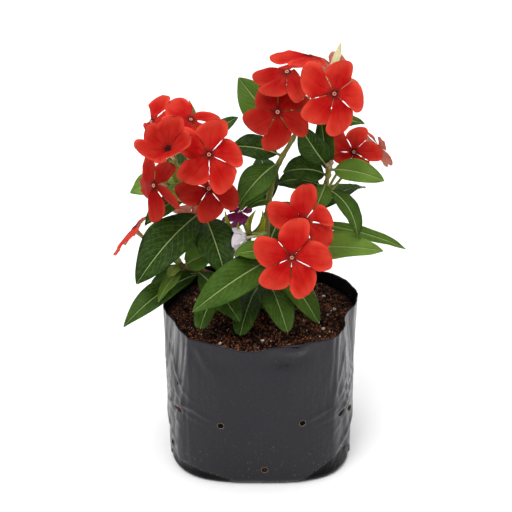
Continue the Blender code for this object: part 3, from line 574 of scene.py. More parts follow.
# Pleats of the film from one (angle, height) to another: how wide they are and how far they stand out
PLEATS = (
    ((-166, 44), (-133, 55), 2.2, 1.0), ((-133, 55), (-120, 49), 1.8, 0.5),
    ((-150, 62), (-133, 52), 1.8, 0.4), ((-22, 44), (-45, 52), 2.6, 0.8),
    ((-47, 55), (-61, 50), 1.8, 0.5), ((-8, 60), (-40, 47), 2.4, 0.6),
    ((-160, 88), (-140, 66), 2.0, 0.7), ((-128, 100), (-118, 84), 2.5, 0.5),
    ((-30, 92), (-42, 66), 2.0, 0.8), ((-16, 36), (-40, 20), 2.6, 1.0),
    ((-170, 34), (-146, 22), 2.6, 0.8), ((-172, 70), (-138, 50), 1.8, 0.35),
    ((-168, 58), (-126, 46), 1.5, 0.35), ((-164, 50), (-140, 38), 1.8, 0.35),
    ((-150, 74), (-130, 60), 1.6, 0.25), ((-10, 66), (-48, 50), 1.8, 0.35),
    ((-14, 52), (-54, 46), 1.5, 0.35), ((-20, 50), (-44, 36), 1.8, 0.35),
    ((-24, 72), (-42, 56), 1.6, 0.3), ((52, 80), (90, 62), 3.0, 0.8),
    ((-136.5, 106), (-140, 62), 1.5, -0.8), ((-43.5, 106), (-46, 66), 1.5, -0.8),
    ((120, 86), (140, 60), 2.4, 0.9), ((100, 30), (132, 42), 2.6, 0.9),
    ((60, 30), (40, 46), 2.4, 1.0),
)

# How far a pleat reaches up from its middle and past its ends, then the valley beside it: its share of the
# rise, how far off it lies and how wide it is, both in widths of the pleat
PLEAT_UP = 30
PLEAT_PAST = 0.25
VALLEY_SHARE = 0.55
VALLEY_OFF = 1.7
VALLEY_WIDTH = 1.4

# The radius at which a pleat's degrees are turned into millimetres
MEAN_RADIUS = 62

# Wrinkles of the gussets, rounded ones and sharp ones, and the slow swell of the whole film: the radius of the
# circle of noise that they are read on, their height in mm and how far they stand out
WRINKLE_CIRCLE = 6.2
WRINKLE_HEIGHT = 46
WRINKLE_OUT = 1.5
SHARP_OUT = 0.9
SWELL_CIRCLE = 1.7
SWELL_HEIGHT = 30
SWELL_OUT = 0.5
CALM_FOOT = 14

# Soft dents: angle, height, how far they reach round and up, and how deep they are
DENTS = (
    (-78, 97, 12, 7, 2.3), (-70, 103, 6, 4, -2.4), (-112, 92, 10, 6, 0.8), (-55, 70, 12, 18, 0.6),
    (-100, 60, 16, 22, 0.5), (75, 80, 14, 14, 1.4), (110, 55, 12, 12, 1.2), (165, 60, 12, 16, 1.2),
)

# Corner tucks under the base seam: the height of their fold by angle
TUCKS = (
    ((-160, 0), (-153, 12), (-147, 12.5), (-134, 10.5), (-122, 8), (-112, 5), (-103, 0)),
    ((-68, 0), (-60, 6), (-53, 11), (-44, 16), (-34, 17), (-26, 13), (-18, 0)),
    ((24, 0), (34, 9), (46, 10), (58, 5), (68, 0)),
    ((112, 0), (122, 5), (134, 10), (146, 9), (156, 0)),
)
TUCK_DEPTH = 1.0
TUCK_LIP = 0.35
TUCK_LIP_HEIGHT = 1.2

# The fold's height from which there is a tuck, and from which it has its full depth
TUCK_LEAST = 0.5
TUCK_FULL = 6

# Drain holes by angle and height. Each is punched by an oval peg with this many sides
DRAIN_HOLES = ((-113.7, 46), (-65.2, 48), (-87.3, 12), (-152, 16), (-176, 44), (-24, 40), (-3, 14), (28, 46),
               (66, 47), (92, 13), (114, 47), (152, 14))
HOLE_RADIUS = 2.2
HOLE_SIDES = 16
HOLE_SQUASH = 0.12
CUTTER_REACH = 5


def turn_between(first, second):
    """The smaller angle from the second direction to the first, in degrees."""
    return (first - second + 180) % 360 - 180


def bag_radius(angle, height):
    """The bag's plain outside, round at the mouth and squarer towards the base."""
    share = max(0.0, min(1.0, height / RIM_HEIGHT))
    half_width = BASE_HALF_WIDTH + (MOUTH_RADIUS - BASE_HALF_WIDTH) * share
    half_depth = BASE_HALF_DEPTH + (MOUTH_RADIUS - BASE_HALF_DEPTH) * share
    power = 2 + BASE_SQUARENESS * (1 - share)
    return (abs(math.cos(angle) / half_width) ** power
            + abs(math.sin(angle) / half_depth) ** power) ** (-1 / power)


def rim_height(angle):
    """The cut edge of the film, which waves a few millimetres up and down."""
    degrees = turn_between(math.degrees(angle), 0)
    waves = RIM_HEIGHT + RIM_SADDLE * math.cos(2 * angle - 0.5) + RIM_THREE_WAVES * math.sin(3 * angle + 0.6)
    return waves + read_table(RIM_LIFTS, degrees)


def pleat_rise(degrees, height, pleat):
    """A ridge with a shallow valley along its lower side, fading at both ends."""
    (start_turn, start_height), (end_turn, end_height), width, rise = pleat
    if abs(height - (start_height + end_height) / 2) > PLEAT_UP:
        return 0.0
    per_degree = math.radians(1) * MEAN_RADIUS
    across = turn_between(end_turn, start_turn) * per_degree
    up = end_height - start_height
    length = math.hypot(across, up)
    x = turn_between(degrees, start_turn) * per_degree
    y = height - start_height
    along = (x * across + y * up) / length ** 2
    if not -PLEAT_PAST < along < 1 + PLEAT_PAST:
        return 0.0
    off = (y * across - x * up) / length * (1 if across > 0 else -1)
    fade = smooth_share(along, -PLEAT_PAST, 0.2) * smooth_share(1 + PLEAT_PAST - along, 0.0, 0.45)
    ridge = math.exp(-(off / width) ** 2)
    valley = VALLEY_SHARE * math.exp(-((off + VALLEY_OFF * width) / (VALLEY_WIDTH * width)) ** 2)
    return rise * fade * (ridge - valley)


def film_relief(angle, height):
    """How far the film stands out from its plain form: creases, gussets, dents, pleats and wrinkles."""
    degrees = math.degrees(angle)
    share = height / RIM_HEIGHT
    rise = 0.0
    for crease, out in CREASES:
        away = abs(turn_between(degrees, crease))
        rise += out * (0.35 + 0.65 * share) * math.exp(-(away / CREASE_SPREAD) ** 1.2)
    for turn, depth, spread, low in GUSSET_DENTS:
        away = turn_between(degrees, turn)
        rise -= depth * math.exp(-(away / spread) ** 2) * smooth_share(height, low, RIM_HEIGHT) ** 1.3
    for turn, level, wide, tall, depth in DENTS:
        away = turn_between(degrees, turn)
        rise -= depth * math.exp(-(away / wide) ** 2 - ((height - level) / tall) ** 2)
    for pleat in PLEATS:
        rise += pleat_rise(degrees, height, pleat)
    return (rise + wrinkles(angle, height)) * smooth_share(height, 0, CALM_FOOT)


def wrinkles(angle, height):
    """Upright wrinkles on the side gussets, while the front and the back lie smoother."""
    side = smooth_share(abs(math.cos(angle)) ** 2, 0.42, 0.62)
    spot = polar(WRINKLE_CIRCLE, angle, height / WRINKLE_HEIGHT)
    sharp = 0.3 - abs(noise.noise(spot * 1.7 + Vector((7, 3, 1))))
    folds = WRINKLE_OUT * noise.noise(spot * 0.75) + SHARP_OUT * sharp
    swell = noise.noise(polar(SWELL_CIRCLE, angle, height / SWELL_HEIGHT))
    return side * folds + (SWELL_OUT - 0.2 * side) * swell


def tuck_recess(angle, height):
    """How far the fold at each bottom corner is drawn in, with a slight lip over its upper edge; its dark is
    painted shade.
    """
    degrees = math.degrees(angle)
    for fold in TUCKS:
        middle = fold[len(fold) // 2][0]
        away = turn_between(degrees, middle)
        top = read_table([(turn - middle, level) for turn, level in fold], away)
        if top > TUCK_LEAST and height < top + TUCK_LIP_HEIGHT:
            share = max(0.0, min(1.0, height / top))
            if height > top:
                return -TUCK_LIP * (1 - (height - top) / TUCK_LIP_HEIGHT)
            bulge = math.sin(math.pi * share) ** 0.8 * (0.4 + 0.6 * share)
            return TUCK_DEPTH * min(1.0, top / TUCK_FULL) * bulge
    return 0.0


def film_radius(angle, height):
    """The outside of the film as it is, with its relief and its tucks."""
    return bag_radius(angle, height) + film_relief(angle, height) - tuck_recess(angle, height)


def film_place(degrees, height):
    """The point on the outside of the film, and the way out of it there."""
    def at(turn, level):
        angle = math.radians(turn)
        return polar(film_radius(angle, level), angle, level)

    around = at(degrees + 1.5, height) - at(degrees - 1.5, height)
    upwards = at(degrees, height + 1.5) - at(degrees, height - 1.5)
    return at(degrees, height), around.cross(upwards).normalized()


def film_rings(thickness):
    """The rings of the film's outside from the base's middle to the rim, then back down its inside."""
    def ring(scale, inset, level, tucked):
        points = []
        for angle in even_turns(FILM_SIDES):
            radius = (bag_radius(angle, level) - inset) * scale
            if tucked:
                radius -= tuck_recess(angle, level)
            points.append(polar(radius, angle, level))
        return points

    def foot(skin):
        """The flat base and the rounding round it, a skin's thickness inside the film's outside."""
        rings = [ring(scale, BASE_ROUNDING + skin, skin, False) for scale in BASE_SCALES]
        for degrees in (22.5, 45.0, 67.5):
            inset = BASE_ROUNDING * (1 - math.sin(math.radians(degrees))) + skin
            level = BASE_ROUNDING * (1 - math.cos(math.radians(degrees))) + skin
            rings.append(ring(1.0, inset, level, True))
        return rings

    outside = foot(0.0)
    inside = foot(thickness)
    for row in range(WALL_ROWS + 1):
        outer, inner = [], []
        for angle in even_turns(FILM_SIDES):
            level = BASE_ROUNDING + (rim_height(angle) - BASE_ROUNDING) * row / WALL_ROWS
            radius = film_radius(angle, level)
            direction = Vector((math.cos(angle), math.sin(angle), 0))
            outer.append(direction * radius + Vector((0, 0, level)))
            inner.append(direction * (radius - thickness) + Vector((0, 0, level)))
        outside.append(outer)
        inside.append(inner)
    return outside + inside[::-1]


def hole_cutter(degrees, height):
    """A slightly oval peg through the film where a drain hole is punched."""
    here, out = film_place(degrees, height)
    side = square_to(Vector((0, 0, 1)), out)
    other = out.cross(side)
    ends = []
    for reach in (-CUTTER_REACH, CUTTER_REACH):
        ring = []
        for turn in even_turns(HOLE_SIDES):
            radius = HOLE_RADIUS * (1 + HOLE_SQUASH * math.cos(2 * turn + degrees))
            ring.append(here + out * reach + radius * (math.cos(turn) * side + math.sin(turn) * other))
        ends.append(ring)
    cutter = Shape()
    cutter.add_rings(here - out * CUTTER_REACH, ends, here + out * CUTTER_REACH)
    return cutter.make("hole_cutter", [])


def cut_holes(bag):
    """Punches the drain holes through the film."""
    cutters = [hole_cutter(degrees, height) for degrees, height in DRAIN_HOLES]
    group = bpy.data.collections.new("hole_cutters")
    bpy.context.scene.collection.children.link(group)
    for cutter in cutters:
        bpy.context.scene.collection.objects.unlink(cutter)
        group.objects.link(cutter)
    step = bag.modifiers.new("holes", "BOOLEAN")
    step.operation = "DIFFERENCE"
    step.solver = "EXACT"
    step.operand_type = "COLLECTION"
    step.collection = group
    settle(bag)
    for cutter in cutters:
        bpy.data.objects.remove(cutter)
    bpy.data.collections.remove(group)


def paint_shade_on_tucks(bag):
    """Gives the folded corners under the bag a near-black, barely glossy finish: painted shade for the film
    folded in out of the light.
    """
    fold = mottled_finish("bag_fold", (0.0015, 0.0015, 0.002), (0.005, 0.005, 0.006), 0.3, 90, 0.0012)
    fold.node_tree.nodes["Principled BSDF"].inputs["Specular IOR Level"].default_value = 0.06
    bag.data.materials.append(fold)
    # Faces in the tucks take the near-black finish: painted shade
    for face in bag.data.polygons:
        x, y, z = face.center / MM
        if tuck_recess(math.atan2(y, x), z) > 0.04:
            face.material_index = 1


def settle(thing):
    """Turns the result of an object's modifiers into its own plain mesh."""
    view = bpy.context.evaluated_depsgraph_get()
    result = bpy.data.meshes.new_from_object(thing.evaluated_get(view), depsgraph=view)
    result.name = thing.name
    thing.modifiers.clear()
    thing.data = result


# Geometry node trees

class Tree(Recipe):
    """A geometry node tree with named inputs."""

    def __init__(self, name, inputs):
        super().__init__(bpy.data.node_groups.new(name, "GeometryNodeTree"))
        face = self.tree.interface
        face.new_socket("Geometry", in_out="INPUT", socket_type="NodeSocketGeometry")
        for label, kind, value in inputs:
            socket = face.new_socket(label, in_out="INPUT", socket_type="NodeSocket" + kind)
            if value is not None:
                socket.default_value = value
        face.new_socket("Geometry", in_out="OUTPUT", socket_type="NodeSocketGeometry")
        self.given = self.node("NodeGroupInput").outputs

    def end(self, shape, smooth=True):
        """Makes the instances real, sets their shading and gives them the material input."""
        real = self.node("GeometryNodeRealizeInstances", {0: shape}).outputs[0]
        shaded = self.node("GeometryNodeSetShadeSmooth", {"Geometry": real, "Shade Smooth": smooth}).outputs[0]
        inputs = {"Geometry": shaded, "Material": self.given["Material"]}
        self.node("NodeGroupOutput", {0: self.node("GeometryNodeSetMaterial", inputs).outputs[0]})

    def run_on(self, thing, **values):
        """Runs the tree on an object with the given inputs and keeps the result as plain mesh."""
        step = thing.modifiers.new(self.tree.name, "NODES")
        step.node_group = self.tree
        for item in self.tree.interface.items_tree:
            if item.in_out == "INPUT" and item.name in values:
                step[item.identifier] = values[item.name]
        settle(thing)


def limb_tree():
    """Round bars along paths of edges whose points carry their radius in metres."""
    tree = Tree("bars_along_paths", (("Sides", "Int", 10), ("Material", "Material", None)))
    curve = tree.node("GeometryNodeMeshToCurve", {0: tree.given["Geometry"]}).outputs[0]
    radius = tree.node("GeometryNodeInputNamedAttribute", {"Name": "girth"}, data_type="FLOAT").outputs[0]
    profile = tree.node("GeometryNodeCurvePrimitiveCircle", {"Resolution": tree.given["Sides"], "Radius": 1.0})
    bars = tree.node("GeometryNodeCurveToMesh", {"Curve": curve, "Profile Curve": profile.outputs[0],
                                                 "Scale": radius, "Fill Caps": True}).outputs[0]
    tree.end(bars)
    return tree


# The most that a grain is turned about each axis, and the scale of its roughness in bumps per metre
ANY_TURN = (6.28, 6.28, 6.28)
ROUGH_SCALE = 700.0


def grain_tree(name, on_points):
    """Small rough grains, scattered over faces or set on given points."""
    inputs = (("Density", "Float", 1000.0), ("Smallest", "Float", 0.001), ("Largest", "Float", 0.002),
              ("Stretch", "Vector", (1.0, 1.0, 1.0)), ("Roughness", "Float", 0.3), ("Seed", "Int", 1),
              ("Material", "Material", None))
    tree = Tree(name, inputs)
    given = tree.given
    if on_points:
        points = tree.node("GeometryNodeMeshToPoints", {0: given["Geometry"]}).outputs[0]
    else:
        points = tree.node("GeometryNodeDistributePointsOnFaces",
                           {"Mesh": given["Geometry"], "Density": given["Density"], "Seed": given["Seed"]},
                           distribute_method="RANDOM").outputs[0]
    size = tree.node("FunctionNodeRandomValue",
                     {2: given["Smallest"], 3: given["Largest"], "Seed": given["Seed"]},
                     data_type="FLOAT").outputs[1]
    turn = tree.node("FunctionNodeRandomValue", {1: ANY_TURN, "Seed": given["Seed"]},
                     data_type="FLOAT_VECTOR").outputs[0]
    scale = tree.node("ShaderNodeVectorMath", {0: given["Stretch"], 3: size}, operation="SCALE").outputs[0]
    grain = tree.node("GeometryNodeMeshIcoSphere", {"Radius": 0.5, "Subdivisions": 1}).outputs[0]
    laid = tree.node("GeometryNodeInstanceOnPoints", {"Points": points, "Instance": grain, "Rotation": turn,
                                                      "Scale": scale}).outputs[0]
    tone = tree.node("FunctionNodeRandomValue", {2: 0.0, 3: 1.0, "Seed": 5}, data_type="FLOAT").outputs[1]
    toned = tree.node("GeometryNodeStoreNamedAttribute", {"Geometry": laid, "Name": "tone", "Value": tone},
                      data_type="FLOAT", domain="INSTANCE").outputs[0]
    real = tree.node("GeometryNodeRealizeInstances", {0: toned}).outputs[0]
    place = tree.node("GeometryNodeInputPosition").outputs[0]
    rough = tree.node("ShaderNodeTexNoise", {"Vector": place, "Scale": ROUGH_SCALE, "Detail": 1.0})
    centred = tree.node("ShaderNodeVectorMath", {0: rough.outputs["Color"], 1: (0.5, 0.5, 0.5)},
                        operation="SUBTRACT").outputs[0]
    reach = tree.calc("MULTIPLY", given["Roughness"], given["Largest"])
    offset = tree.node("ShaderNodeVectorMath", {0: centred, 3: reach}, operation="SCALE").outputs[0]
    moved = tree.node("GeometryNodeSetPosition", {"Geometry": real, "Offset": offset}).outputs[0]
    tree.end(moved, smooth=False)
    return tree


def eyelet_tree():
    """A flat soft-edged ring on each point, square to the way out that the point carries."""
    tree = Tree("rings_round_holes", (("Radius", "Float", 0.0028), ("Lip", "Float", 0.0004),
                                      ("Material", "Material", None)))
    given = tree.given
    points = tree.node("GeometryNodeMeshToPoints", {0: given["Geometry"]}).outputs[0]
    way = tree.node("GeometryNodeInputNamedAttribute", {"Name": "way_out"}, data_type="FLOAT_VECTOR").outputs[0]
    turn = tree.node("FunctionNodeAlignRotationToVector", {"Vector": way}, axis="Z").outputs[0]
    circle = "GeometryNodeCurvePrimitiveCircle"
    path = tree.node(circle, {"Resolution": 28, "Radius": given["Radius"]}).outputs[0]
    profile = tree.node(circle, {"Resolution": 8, "Radius": given["Lip"]}).outputs[0]
    ring = tree.node("GeometryNodeCurveToMesh", {"Curve": path, "Profile Curve": profile}).outputs[0]
    laid = tree.node("GeometryNodeInstanceOnPoints", {"Points": points, "Instance": ring,
                                                      "Rotation": turn}).outputs[0]
    tree.end(laid)
    return tree


def point_cloud(name, points, **directions):
    """An object of loose points in millimetres, with a direction for each of them under its name."""
    mesh = bpy.data.meshes.new(name)
    mesh.from_pydata([Vector(point) * MM for point in points], [], [])
    for key, values in directions.items():
        column = mesh.attributes.new(key, "FLOAT_VECTOR", "POINT")
        column.data.foreach_set("vector", [number for value in values for number in value])
    return link_object(name, mesh)


# Finishes of the bag and the soil

def film_finish(bag):
    """Black polythene with a dull sheen, fine wrinkles and a little dust low down."""
    film = Finish("bag_film", bag.roughness, Specular_IOR_Level=0.34, Specular_Tint=(0.95, 0.93, 1.0, 1.0))
    base = opaque(bag.colour)
    cloudy = film.grain(35, 4)
    dull = film.blend(film.soft_step(cloudy, 0.35, 0.7), base, opaque(bag.colour, 1.35))
    height = film.node("ShaderNodeSeparateXYZ", {0: film.where}).outputs[2]
    dust = film.grain(900, 2)
    low = film.soft_step(height, 0.005, 0.05, 1.0, 0.25)
    specks = film.calc("MULTIPLY", film.soft_step(dust, 0.68, 0.74), low)
    film.paint(film.blend(specks, dull, (0.16, 0.13, 0.10, 1.0)))
    fine = film.grain(260, 3, (1.0, 1.0, 0.25))
    long = film.grain(90, 3, (1.0, 1.0, 0.3))
    film.wear(film.raise_skin(fine, 0.00018, film.raise_skin(long, 0.0012)))
    rough = film.soft_step(cloudy, 0.3, 0.75, bag.roughness - 0.06, bag.roughness + 0.08)
    film.feed(film.sockets["Roughness"], rough)
    return film.material


def eyelet_finish():
    """The stretched brownish edge of a punched hole."""
    lip = Finish("hole_lip", 0.6)
    grain = lip.grain(800, 2)
    share = lip.soft_step(grain, 0.35, 0.65)
    lip.paint(lip.blend(share, (0.05, 0.036, 0.026, 1.0), (0.16, 0.12, 0.085, 1.0)))
    lip.wear(lip.raise_skin(grain, 0.0003))
    return lip.material


def soil_finish(name, dark, light):
    """Moist peat, mottled from nearly black to reddish brown."""
    earth = Finish(name, 0.85, Specular_IOR_Level=0.12)
    patches = earth.grain(160, 4)
    tone = earth.point_data("tone")
    mixed = earth.calc("MULTIPLY_ADD", tone, 0.75, earth.calc("MULTIPLY_ADD", patches, 0.9, -0.35))
    earth.paint(earth.blend(earth.soft_step(mixed, 0.1, 1.0), opaque(dark), opaque(light)))
    fine = earth.grain(1400, 3)
    earth.wear(earth.raise_skin(fine, 0.0006))
    return earth.material


def perlite_finish():
    """Rough white grains with soil stains."""
    white = Finish("perlite", 0.8)
    stain = white.grain(700, 3)
    stained = white.soft_step(stain, 0.42, 0.7)
    white.paint(white.blend(stained, (0.72, 0.68, 0.62, 1.0), (0.34, 0.24, 0.17, 1.0)))
    white.wear(white.raise_skin(white.grain(2500, 2), 0.0004))
    return white.material


# Soil surface
SOIL_HEIGHT = 96.0
MOUND_HEIGHT = 2.0
MOUND_MIDDLE = (-6, 14)
MOUND_SPREAD = 30.0
LONG_UNEVEN = 0.9
SHORT_UNEVEN = 0.6
CRUMB_SIZES = ((1.1, 0.35), (0.9, 0.8), (0.5, 1.7))
CRUMB_DROP = 0.4
SOIL_GAP = 0.8
SOIL_SIDES = 180
SOIL_ROWS = 44
SOIL_EDGE = 97
PATCH_HALF_COUNT = 24
PATCH_HALF_WIDTH = 62
PERLITE_COUNT = 95

# Levels of the root ball's side, with how far each ring is drawn in under the rounded foot of the bag
SOIL_LEVELS = ((1.5, 34), (1.6, 5), (2.5, 2), (6, 0), (10, 0), (14, 0), (18, 0), (24, 0), (30, 0), (40, 0),
               (50, 0), (60, 0), (70, 0), (80, 0), (88, 0), (92, 0))

# White grains that show in the photograph, and some behind the stems
PERLITE = (
    (-25.5, -42), (-30, -45), (-17, -55), (-20, -56), (-24, -55), (22, -56), (1.5, -36), (41, -20), (38.5, -10),
    (-38, -47), (-50, -31), (34, -42), (45, -2), (50, 6), (30, 24), (-44, 20), (-20, 46), (12, 48), (44, 28),
)


def soil_top(x, y):
    """The soil's surface, gently uneven and a little higher round the stems."""
    away = math.hypot(x - MOUND_MIDDLE[0], y - MOUND_MIDDLE[1])
    mound = MOUND_HEIGHT * math.exp(-(away / MOUND_SPREAD) ** 2)
    hollows = LONG_UNEVEN * math.sin(x / 9 + 1) * math.cos(y / 11) + SHORT_UNEVEN * math.sin((x + y) / 6)
    return SOIL_HEIGHT + mound + hollows


def crumbly_top(x, y):
    """The soil's surface with its crumbs."""
    spot = Vector((x, y, 0))
    crumbs = sum(height * noise.noise(spot * per_mm) for height, per_mm in CRUMB_SIZES)
    return soil_top(x, y) + crumbs - CRUMB_DROP


def soil_shape():
    """The root ball from its base to its crumbly top, just inside the film."""
    rings = []
    for level, drawn_in in SOIL_LEVELS:
        rings.append([polar(film_radius(angle, max(level, 5)) - (SOIL_GAP + drawn_in), angle, level)
                      for angle in even_turns(SOIL_SIDES)])
    for row in range(SOIL_ROWS):
        share = 1 - (row / SOIL_ROWS) ** 0.9
        ring = []
        for angle in even_turns(SOIL_SIDES):
            edge = film_radius(angle, SOIL_EDGE) - SOIL_GAP
            x = edge * share * math.cos(angle)
            y = edge * share * math.sin(angle)
            ring.append(Vector((x, y, crumbly_top(x, y))))
        rings.append(ring)
    shape = Shape()
    shape.add_rings(Vector((0, 0, SOIL_LEVELS[0][0])), rings, Vector((0, 0, crumbly_top(0, 0))))
    shape.data["tone"] = [0.1] * len(shape.points)
    return shape


def soil_patch(name):
    """A coarse copy of the soil's surface for grains to lie on."""
    shape = Shape()
    corners = {}
    steps = range(-PATCH_HALF_COUNT, PATCH_HALF_COUNT + 1)
    for i in steps:
        for j in steps:
            x = i * PATCH_HALF_WIDTH / PATCH_HALF_COUNT
            y = j * PATCH_HALF_WIDTH / PATCH_HALF_COUNT
            if math.hypot(x, y) < film_radius(math.atan2(y, x), SOIL_EDGE) - 3:
                corners[i, j] = len(shape.points)
                shape.points.append(Vector((x, y, crumbly_top(x, y) + 0.1)))
    for (i, j), first in corners.items():
        if (i + 1, j) in corners and (i, j + 1) in corners and (i + 1, j + 1) in corners:
            shape.faces.append((first, corners[i + 1, j], corners[i + 1, j + 1], corners[i, j + 1]))
    shape.finish = [0] * len(shape.faces)
    shape.place = [(0.5, 0.5)] * len(shape.points)
    return shape.make(name, [])


# Leaf blades
STALK_SHARE = 0.07
STALK_HALF = 0.8
RIB_THICKNESS = (1.5, 0.9)
LEAF_FOLD = math.radians(12)
BLUNT = 0.8
WIDEST_PLACE = 0.88
TIP_HALF = 0.12
LEAF_ROWS = 60
LEAF_HALF_COLS = 11
VEIN_COUNT = 12.0
VEIN_SWEEP = 0.3
VEIN_BEND = 1.2
VEIN_STAGGER = 0.35
RIB_GROOVE = 0.25
RIB_GROOVE_WIDTH = 0.7
RIB_RIDGE_WIDTH = 0.9
EDGE_WAVE = 0.9
EDGE_WAVES = 1.7
WAVE_STEP = 2.39


def leaf_half_width(t, width, point):
    """Half the blade's width: none on the stalk, widest before the middle, pointed or blunt at the tip."""
    share = max(0.0, (t - STALK_SHARE) / (1 - STALK_SHARE))
    power = BLUNT + (point - BLUNT) * share
    blade = width / 2 * max(0.0, math.sin(math.pi * share ** WIDEST_PLACE)) ** power
    return max(blade, STALK_HALF if t < 0.5 else TIP_HALF)


def leaf_rib(leaf, lines):
    """Start, bow point, tip and upward face of a leaf, as the solid leaf has them."""
    centre, along, radius = lines[leaf.stem].read(leaf.at)
    tip = Vector(leaf.tip)
    away = square_to(tip - centre, along)
    start = centre + away * (radius - SUNK)
    chord = (tip - start).normalized()
    face = square_to(Vector(leaf.face), chord)
    start += away * STALK_HALF * math.sqrt(max(0.0, 1 - chord.dot(away) ** 2))
    return start, (start + tip) / 2 + face * 2 * leaf.arch, tip, face


def add_leaf(shape, leaf, lines, thickness, quilt, number):
    """One arched blade: sunken veins, halves that rise from the rib, edges that wave."""
    start, control, tip, face = leaf_rib(leaf, lines)
    upper, lower, place, rib_distance = [], [], [], []
    phase = number * WAVE_STEP
    waves = EDGE_WAVES + 0.6 * math.sin(phase)
    for row in range(LEAF_ROWS + 1):
        t = row / LEAF_ROWS
        rib = (1 - t) ** 2 * start + 2 * t * (1 - t) * control + t ** 2 * tip
        forward = ((1 - t) * (control - start) + t * (tip - control)).normalized()
        normal = square_to(face, forward)
        side = forward.cross(normal)
        half = leaf_half_width(t, leaf.width, leaf.point)
        fold = math.sin(LEAF_FOLD) * max(0.0, half - STALK_HALF)
        ends = smooth_share(t, 0.05, 0.2) * smooth_share(1 - t, 0.0, 0.12)
        rib_thick = RIB_THICKNESS[0] + (RIB_THICKNESS[1] * 0.7 - RIB_THICKNESS[0]) * t
        for col in range(-LEAF_HALF_COLS, LEAF_HALF_COLS + 1):
            s = col / LEAF_HALF_COLS
            s = math.copysign(abs(s) ** 1.25, s)
            reach = abs(s)
            stagger = VEIN_STAGGER if s > 0 else 0.0
            turn = 2 * math.pi * (VEIN_COUNT * (t - VEIN_SWEEP * reach ** VEIN_BEND) + stagger)
            pillow = quilt * math.sin(math.pi * min(1.0, reach * 1.05)) * (1 + math.cos(turn)) * ends
            edge = EDGE_WAVE * reach ** 3 * math.sin(2 * math.pi * waves * t + phase * (1 + s)) * ends
            groove = -RIB_GROOVE * math.exp(-(s * half / RIB_GROOVE_WIDTH) ** 2)
            rise = fold * math.sin(math.pi / 2 * reach) + pillow + edge + groove
            top = rib + side * half * s + normal * rise
            ridge = (rib_thick - thickness) * math.exp(-(s * half / RIB_RIDGE_WIDTH) ** 2)
            upper.append(top)
            lower.append(top - normal * (thickness * (1 - 0.5 * reach ** 4) + ridge * min(1.0, half)))
            place.append((t, (s + 1) / 2))
            rib_distance.append(abs(s) * half)
    cols = 2 * LEAF_HALF_COLS + 1
    faces, finish = sheet_faces(LEAF_ROWS + 1, cols)
    tone = [leaf.tone] * (2 * len(upper))
    shape.add_shell(upper + lower, faces, finish, place + place, off_rib=rib_distance * 2, tone=tone)


def leaf_finish(name, leaf, underside):
    """Satin green with a pale rib and fine side veins that curve towards the tip."""
    dull = leaf.roughness + (0.12 if underside else 0.0)
    blade = Finish(name, dull, Specular_IOR_Level=0.09)
    along, across = blade.sheet_place()
    off_rib = blade.point_data("off_rib")
    tone = blade.point_data("tone")
    signed = blade.calc("MULTIPLY_ADD", across, 2.0, -1.0)
    reach = blade.calc("ABSOLUTE", signed)
    sweep = blade.calc("MULTIPLY", blade.calc("POWER", reach, VEIN_BEND), VEIN_SWEEP)
    phase = blade.calc("MULTIPLY", blade.calc("SUBTRACT", along, sweep), VEIN_COUNT)
    phase = blade.calc("MULTIPLY_ADD", blade.calc("GREATER_THAN", signed, 0.0), VEIN_STAGGER, phase)
    wave = blade.calc("ABSOLUTE", blade.calc("SUBTRACT", blade.calc("FRACT", phase), 0.5))
    vein = blade.soft_step(wave, 0.0, 0.13, 1.0, 0.0)
    vein = blade.calc("MULTIPLY", vein, blade.soft_step(reach, 0.55, 0.98, 1.0, 0.15))
    rib_width = blade.calc("MULTIPLY_ADD", along, -0.4, 0.6)
    rib = blade.soft_step(blade.calc("DIVIDE", off_rib, rib_width), 0.55, 1.15, 1.0, 0.0)
    rib = blade.calc("MULTIPLY", rib, blade.soft_step(along, 0.75, 1.0, 1.0, 0.45))
    mottle = blade.grain(55, 4)
    fine = blade.grain(420, 3)
    # The tone makes a leaf lighter and yellower: its young colour, and on some leaves painted sheen
    shade = blade.calc("MULTIPLY_ADD", mottle, 0.6, tone)
    green = blade.ramp(blade.calc("MULTIPLY", shade, 0.5),
                       ((0.05, tuple(channel * 0.55 for channel in leaf.colour)), (0.2, tuple(leaf.colour)),
                        (0.55, tuple(leaf.young)), (1.0, (0.38, 0.47, 0.10))))
    green = blade.blend(blade.soft_step(fine, 0.4, 0.7, 0.0, 0.2), green, opaque(leaf.young))
    if underside:
        green = blade.blend(0.45, green, (0.16, 0.26, 0.10, 1.0))
    veined = blade.calc("MULTIPLY", vein, 0.3 if underside else 0.14)
    green = blade.blend(veined, green, opaque(leaf.vein))
    blade.paint(blade.blend(blade.calc("MULTIPLY", rib, 0.85), green, (0.40, 0.50, 0.20, 1.0)))
    height = blade.calc("MULTIPLY_ADD", vein, -0.6, blade.calc("MULTIPLY", rib, -0.8))
    if underside:
        height = blade.calc("MULTIPLY", height, -1.0)
    normal = blade.raise_skin(height, 0.00022)
    blade.wear(blade.raise_skin(blade.grain(900, 2), 0.00008, normal))
    blade.feed(blade.sockets["Roughness"], blade.soft_step(mottle, 0.3, 0.7, dull - 0.05, dull + 0.08))
    return blade.material


# Corollas: five lobes round a mouth, on a slender tube
THROAT = 2.2
LOBE_SKEW = 0.1
LOBE_SLANT = 0.2
LOBE_BEND = 12
LOBE_ROOT = THROAT - 0.8
CHANNEL_DEPTH = 0.5
CHANNEL_WIDTH = 0.16
LOBE_DROOP = 0.05
LOBE_LAP = 0.35
LOBE_ROWS = 34
LOBE_HALF_COLS = 9
WIDEST_SIDE = math.radians(50)
SLIT = 0.24
CUP_LENGTH = 2.5
SEPAL = ((1.55, 0.6), (2.1, 2.2), (2.9, 3.8))
STALK_BOW = 0.3

